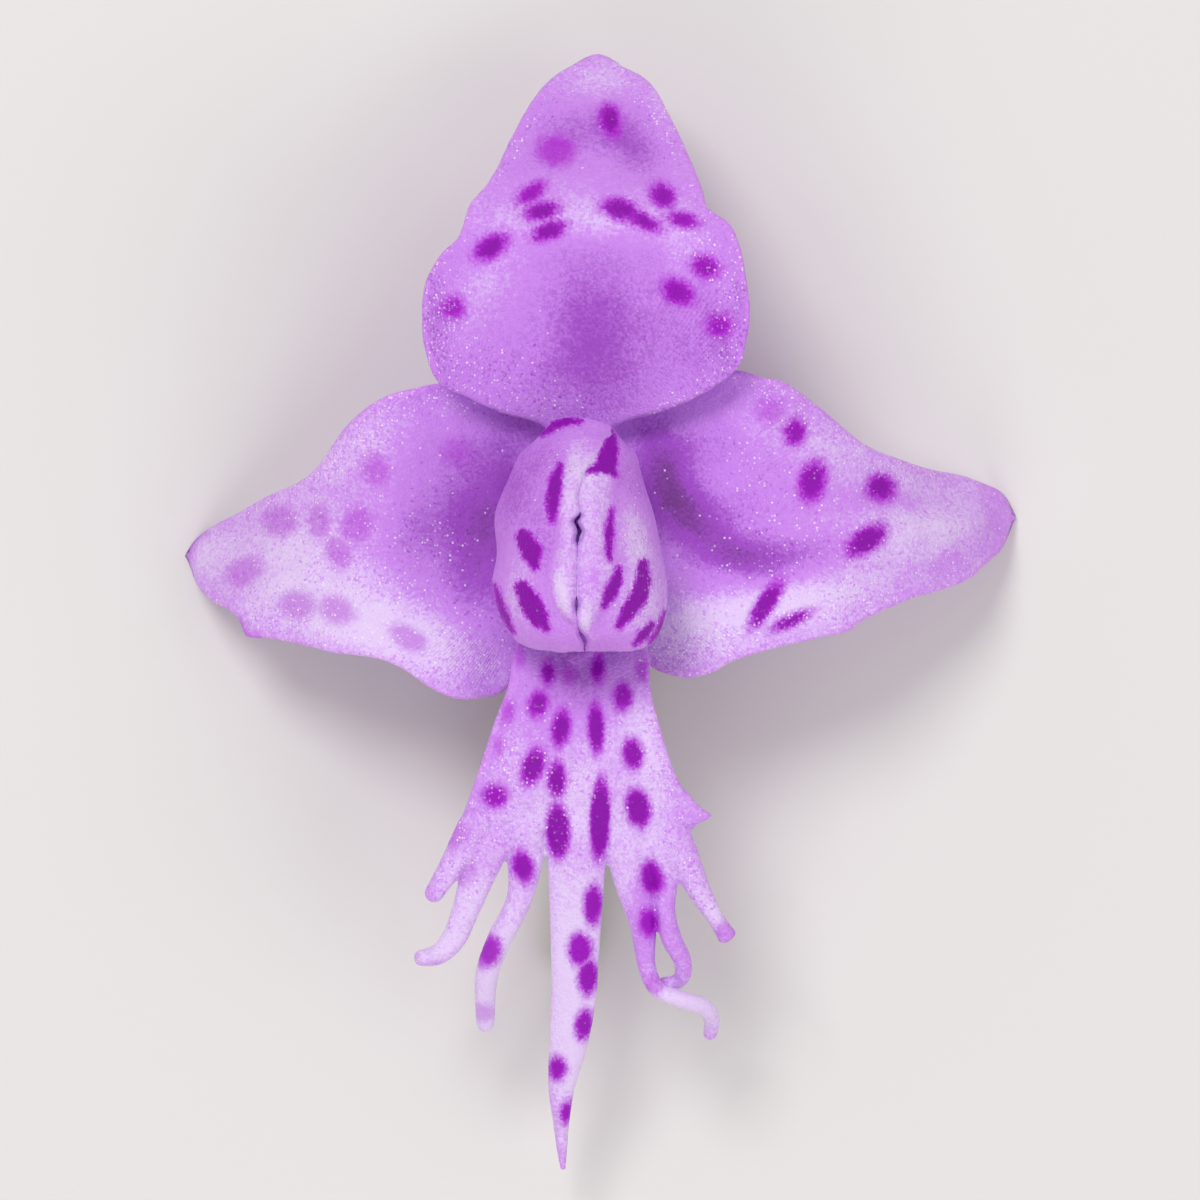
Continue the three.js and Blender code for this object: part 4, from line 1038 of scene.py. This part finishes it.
# Each finger from its root inside the plate to its tip, as (x, y, height above the middle lobe, width)
FINGERS = [
    [
        (-2.35, -4, 0.02, 0.7), (-2.72, -4.75, 0, 0.66), (-3.05, -5.25, 0.05, 0.48),
        (-3.42, -5.82, 0.1, 0.36),
    ],
    [
        (-2, -4.3, 0, 0.8), (-2.4, -5.2, 0, 0.72), (-2.68, -5.98, 0.05, 0.56), (-2.92, -6.56, 0.1, 0.5),
        (-3.25, -6.9, 0.25, 0.42), (-3.7, -6.98, 0.5, 0.3),
    ],
    [
        (-1.5, -4.1, 0, 0.8), (-1.5, -5, 0, 0.72), (-1.62, -5.8, 0.05, 0.52), (-2.04, -6.66, 0.05, 0.5),
        (-2.28, -7.4, -0.1, 0.46), (-2.3, -8.44, -0.5, 0.36),
    ],
    [
        (-0.46, -4, 0, 1.3), (-0.47, -5.2, 0, 1.16), (-0.5, -6.9, 0, 0.98), (-0.53, -7.8, 0, 0.92),
        (-0.64, -8.72, 0, 0.78), (-0.77, -9.56, 0, 0.55), (-0.78, -10.3, 0, 0.33), (-0.76, -10.9, 0, 0.2),
        (-0.74, -11.26, 0, 0.1),
    ],
    [
        (0.45, -4.3, 0, 0.9), (0.66, -5.4, 0, 0.78), (0.86, -6.3, 0.05, 0.54), (0.93, -7.1, 0.1, 0.37),
        (1.14, -7.58, 0.3, 0.35), (1.6, -7.8, 0.35, 0.35), (2.06, -7.95, 0.1, 0.35),
        (2.24, -8.2, -0.15, 0.33), (2.2, -8.58, -0.3, 0.27),
    ],
    [
        (1.1, -4.4, 0, 0.7), (1.3, -5.4, 0, 0.5), (1.32, -6, 0.15, 0.38), (1.42, -6.55, 0.2, 0.42),
        (1.66, -7.05, 0.1, 0.36), (1.6, -7.42, -0.1, 0.32), (1.18, -7.52, -0.1, 0.28),
    ],
    [
        (1.35, -4.2, 0, 0.7), (1.7, -5, 0, 0.62), (1.98, -5.6, 0, 0.48), (2.36, -6.24, 0.05, 0.34),
        (2.6, -6.62, 0.1, 0.42),
    ],
]


def lip_parts():
    """The plate of the lip, its fingers and its claw, which sink into each other."""
    left, right, height, rise = [through(LIP, n) for n in (1, 2, 3, 4)]
    hem, top, bottom = through(LIP_HEM), LIP[-1][0], -5.1  # bottom is about where the hem lies

    def place(row, column):
        straight = top + (bottom - top) * eased(row, 0.5)
        x = left(straight) + eased(column) * (right(straight) - left(straight))
        return x, top + (hem(x) - top) * eased(row, 0.5)

    def surface(x, y):
        half = (right(y) - left(y)) / 2
        groove = -0.05 * bell((x + 0.42) / 0.12) * smooth(-6, -3, y)
        return height(y) + rise(y) * ((x - left(y)) / half - 1) ** 2 + groove + 0.03 * swell(x, y, 0.7, 41)

    parts = [blade("plate", 90, 90, place, surface, 400)]
    deep = 0.42  # of the fingers and the claw
    for stations in FINGERS:
        placed = [
            (x, y, float(height(y)) + up - SOLID_BLADE + deep / 2, width) for x, y, up, width in stations
        ]
        parts.append(tube(placed, 14 * len(stations), 20, deep))
    claw = [(0.2, 3.6, 0.7), (-0.25, 3.9, 0.9), (-0.6, 4.32, 1.2), (-1.2, 4.56, 1.2)]
    parts.append(tube([(MIDLINE_X, *station) for station in claw], 40, 20, deep))
    return parts


# Column


def anther_sac(x):
    """A sac of the anther: a round wall that stays open along its front."""
    low, high = ANTHER_Y[0] - 0.34, ANTHER_Y[1] + 0.18
    wide = through([(0, 0.06), (0.2, 0.24), (0.55, 0.27), (0.85, 0.23), (1, 0.06)])

    def wall(row, column):
        outer = column < 0.5
        turn = np.where(outer, column * 2, (1 - column) * 2)
        angle = math.radians(50) + math.radians(260) * turn + math.pi / 2
        reach = np.where(outer, wide(row), wide(row) - 0.09 * smooth(0, 0.15, inward(row)))
        ends = np.minimum(1, 1e3 * inward(row))  # draws both ends shut
        y = low + (high - low) * row
        return x + ends * reach * np.cos(angle), y, ANTHER_Z + ends * reach * np.sin(angle)

    return closed("sac", [sheet(40, 48, wall)])


# Operators


class FLOWER_OT_sepals(bpy.types.Operator):
    """Models the three sepals, each a curved blade that thins to a round rim"""

    bl_idname = "flower.sepals"
    bl_label = "Sepals"

    def execute(self, context):
        tissue = petal_tissue("Sepal tissue", 0.9, 0.15)
        for node, shape in SEPALS.items():
            made = sepal(node + "_skin", shape)
            dress(made, node, lambda x, y: fanned_rows(*shape["axis"](x, y), shape["root"]), tissue)
        return {"FINISHED"}


class FLOWER_OT_hood(bpy.types.Operator):
    """Models the two petals that close over the column as a hood with a slit"""

    bl_idname = "flower.hood"
    bl_label = "Hood"

    def execute(self, context):
        tissue = petal_tissue("Petal tissue", 0.6, 0.06)
        for node, side in HOOD_SIDES.items():
            dress(hood_petal(node + "_skin", side), node, straight_rows, tissue)
        return {"FINISHED"}


class FLOWER_OT_lip(bpy.types.Operator):
    """Models the lip: a wedge that ends in a middle lobe and split side lobes"""

    bl_idname = "flower.lip"
    bl_label = "Lip"

    def execute(self, context):
        made = melted("lip_skin", lip_parts(), 0.04, 6)
        dress(made, "lip", straight_rows, petal_tissue("Lip tissue", 0.6, 0.12))
        return {"FINISHED"}


class FLOWER_OT_column(bpy.types.Operator):
    """Models the column with its stigmas, its warts and the two open sacs of its anther"""

    bl_idname = "flower.column"
    bl_label = "Column"

    def execute(self, context):
        # Half width and height of the stub on the ovary, from its middle below to its middle above
        profile = [(0, 0), (0.5, 0), (0.46, 0.5), (0.55, 1.1), (0.6, 1.6), (0.52, 2.0), (0, 2.2)]
        radius, up = lines_along(profile)

        def stub(row, column):
            angle = 2 * np.pi * column
            reach = np.maximum(radius(row), 0) * np.minimum(1, 1e3 * inward(row))
            x, y = MIDLINE_X + reach * np.cos(angle), COLUMN_Y + reach * np.sin(angle)
            return x, y, SEAT_Z + SEAT_GAP + up(row)

        parts = [
            closed("stub", [sheet(40, 32, stub)]),
            blob((0.12, 0.3, 0.2), (MIDLINE_X, COLUMN_Y - 0.46, 5.02)),  # the tooth between the stigmas
            blob((0.4, 0.75, 0.2), (MIDLINE_X, 1.9, ANTHER_Z - 0.12)),  # the back of the anther
        ]
        stigma = [(0.2, 0, 4.86, 0.3), (0.34, -0.5, 4.98, 0.34), (0.4, -0.95, 5.2, 0.46)]
        for side in (-1, 1):
            stations = [(MIDLINE_X + side * x, COLUMN_Y + y, z, width) for x, y, z, width in stigma]
            parts += [
                tube(stations, 30, 16, 0.36),
                blob((0.24, 0.32, 0.22), (MIDLINE_X + side * 0.58, COLUMN_Y + 0.25, 4.66)),  # a wart
                anther_sac(MIDLINE_X + side * SAC_X),
            ]
        made = melted("column_skin", parts, 0.03, 3)
        to_metres(made)
        tissue = plain_tissue("Column tissue", "pale", "lilac", 0.5, 0.4, 0.3)
        finish_piece(made, "column", tissue)
        return {"FINISHED"}


class FLOWER_OT_pollinaria(bpy.types.Operator):
    """Models the club of pollen, the stalk and the sticky disc in each sac"""

    bl_idname = "flower.pollinaria"
    bl_label = "Pollinaria"

    def execute(self, context):
        wax = plain_tissue("Waxy pollen", "pollen", "pollen_shade", 0.08, 0.45, 0.3)
        for side, node in ((-1, "pollinarium_left"), (1, "pollinarium_right")):
            x = MIDLINE_X + side * SAC_X
            club = [
                (x, ANTHER_Y[1] - 0.3, ANTHER_Z, 0.14),
                (x, ANTHER_Y[1] - 0.6, ANTHER_Z, 0.24),
                (x, ANTHER_Y[0] + 0.1, ANTHER_Z, 0.16),
                (x, ANTHER_Y[0] - 0.5, ANTHER_Z - 0.08, 0.07),
            ]
            disc = blob((0.14, 0.09, 0.14), (x, ANTHER_Y[0] - 0.52, ANTHER_Z - 0.08))  # at the stalk's end
            made = melted(node + "_skin", [tube(club, 60, 20), disc], 0.016, 2)
            places = read(made, "co")
            grains = 0.012 * swell(places[:, 0] + places[:, 2], places[:, 1], 0.05, 51)
            grained = places + read(made, "normal") * grains[:, None]
            made.data.vertices.foreach_set("co", grained.ravel())
            to_metres(made)
            finish_piece(made, node, wax)
        return {"FINISHED"}


class FLOWER_OT_ovary(bpy.types.Operator):
    """Models the ribbed, twisted ovary and its stalk"""

    bl_idname = "flower.ovary"
    bl_label = "Ovary"

    def execute(self, context):
        # (y, z) along the middle of the ovary and its stalk, from the seat to the cut end
        path = [
            (1, SEAT_Z), (0.98, 2.5), (0.5, 1.6), (-0.7, 1.1), (-2.4, 0.9), (-4.3, 0.85), (-5.9, 0.6),
            (-7.2, 0.5),
        ]
        line_y, line_z = lines_along(path)
        radius = through([
            (0, SEAT_RADIUS), (0.035, 1.2), (0.08, 0.86), (0.14, 0.7), (0.25, 0.86), (0.42, 1.1), (0.56, 1.1),
            (0.7, 0.86), (0.8, 0.52), (1, 0.4),
        ])
        cap = 0.03  # shares of the grid that close the seat and the cut end
        step = 1e-3

        def skin(row, column):
            share = np.clip((row - cap) / (1 - 2 * cap), 0, 1) ** 1.25
            closing = np.clip(inward(row) / cap, 0, 1)
            ahead_y = line_y(share + step) - line_y(share - step)
            ahead_z = line_z(share + step) - line_z(share - step)
            ahead_y = ahead_y * smooth(0, 0.05, share)  # the seat is level
            length = np.hypot(ahead_y, ahead_z)
            ahead_y, ahead_z = ahead_y / length, ahead_z / length
            # Six twisted ribs with narrow crests
            ribs = 0.09 * np.clip((share - 0.08) / 0.15, 0, 1) * np.clip((1.05 - share) / 0.2, 0, 1)
            angle = 2 * np.pi * column
            wave = np.cos(6 * (angle + np.pi * share)) + 0.35 * np.cos(12 * (angle + np.pi * share))
            reach = radius(share) * (1 - ribs + ribs * wave) * closing
            x = MIDLINE_X + reach * np.cos(angle)
            y = line_y(share) + reach * np.sin(angle) * -ahead_z
            z = line_z(share) + reach * np.sin(angle) * ahead_y
            return x, y, np.maximum(z, 0.0)  # flat where it lies on the floor

        made = closed("ovary_skin", [sheet(260, 96, skin)])
        to_metres(made)
        x, y, z = points(made).T
        purple = smooth(1.2, 3.4, z + 0.25 * swell(x, y, 0.5, 61))  # towards the flower
        paint(made, "wash", 0.75 * purple)
        tissue = plain_tissue("Ovary tissue", "stem", "stem_shade", 0.9, 0.42, 0.25)
        finish_piece(made, "ovary", tissue)
        return {"FINISHED"}


class FLOWER_OT_stage(bpy.types.Operator):
    """Adds the pale floor, the soft lights and the camera that looks straight down"""

    bl_idname = "flower.stage"
    bl_label = "Stage"

    def execute(self, context):
        select()
        bpy.ops.mesh.primitive_plane_add(size=0.6, location=(0, 0, -0.00002))  # a hair below the flower
        floor = context.active_object
        floor.name = "floor"
        made, tree = new_material("Matt pale board")
        board = add_node(tree, "BsdfPrincipled", {"Base Color": colour("floor"), "Roughness": 0.9})
        add_node(tree, "OutputMaterial", {"Surface": board}, out=None)
        floor.data.materials.append(made)

        for name, place, width, power in (
            ("key", (-0.07, 0.12, 0.20), 0.10, 0.25),
            ("fill", (0.16, -0.05, 0.16), 0.16, 0.11),
            ("front", (-0.04, -0.16, 0.12), 0.12, 0.09),
        ):
            lamp = bpy.data.lights.new(name, "AREA")
            lamp.shape = "DISK"
            lamp.size = width
            lamp.energy = power
            holder = bpy.data.objects.new(name, lamp)
            holder.location = place
            holder.rotation_euler = (-holder.location).to_track_quat("-Z", "Y").to_euler()
            context.scene.collection.objects.link(holder)

        world = bpy.data.worlds.new("studio")
        world.use_nodes = True
        sky = world.node_tree.nodes["Background"]
        sky.inputs["Color"].default_value = linear("F4F2F6")  # a faintly cool white
        sky.inputs["Strength"].default_value = 0.5
        context.scene.world = world
        context.scene.view_settings.view_transform = "Standard"

        # The picture is 24 mm high at the flower's face, and its middle lies 0.2 mm above the origin.
        seen, away, face_z, middle_y = 0.024, 0.6, 0.0045, 0.0002
        cam = bpy.data.cameras.new("camera")
        cam.sensor_width = 36
        cam.lens = cam.sensor_width * away / seen
        cam.clip_start = 0.01
        holder = bpy.data.objects.new("camera", cam)
        holder.location = (0, middle_y, away + face_z)
        context.scene.collection.objects.link(holder)
        context.scene.camera = holder
        return {"FINISHED"}


OPERATORS = (
    FLOWER_OT_sepals,
    FLOWER_OT_hood,
    FLOWER_OT_lip,
    FLOWER_OT_column,
    FLOWER_OT_pollinaria,
    FLOWER_OT_ovary,
    FLOWER_OT_stage,
)


class FLOWER_PT_panel(bpy.types.Panel):
    """Lists the flower's pieces in the 3D view's sidebar"""

    bl_idname = "FLOWER_PT_panel"
    bl_label = "Flower"
    bl_space_type = "VIEW_3D"
    bl_region_type = "UI"
    bl_category = "Flower"

    def draw(self, context):
        for group in (context.scene.flower_sizes, context.scene.flower_colours):
            for key in group.__annotations__:
                self.layout.prop(group, key)
        for operator in OPERATORS:
            self.layout.operator(operator.bl_idname)


CLASSES = (FlowerSizes, FlowerColours, *OPERATORS, FLOWER_PT_panel)


def register():
    for one in CLASSES:
        bpy.utils.register_class(one)
    bpy.types.Scene.flower_sizes = bpy.props.PointerProperty(type=FlowerSizes)
    bpy.types.Scene.flower_colours = bpy.props.PointerProperty(type=FlowerColours)


def unregister():
    del bpy.types.Scene.flower_colours
    del bpy.types.Scene.flower_sizes
    for one in reversed(CLASSES):
        bpy.utils.unregister_class(one)


def main():
    register()
    for operator in OPERATORS:
        family, name = operator.bl_idname.split(".")
        getattr(getattr(bpy.ops, family), name)()


if __name__ == "__main__":
    main()
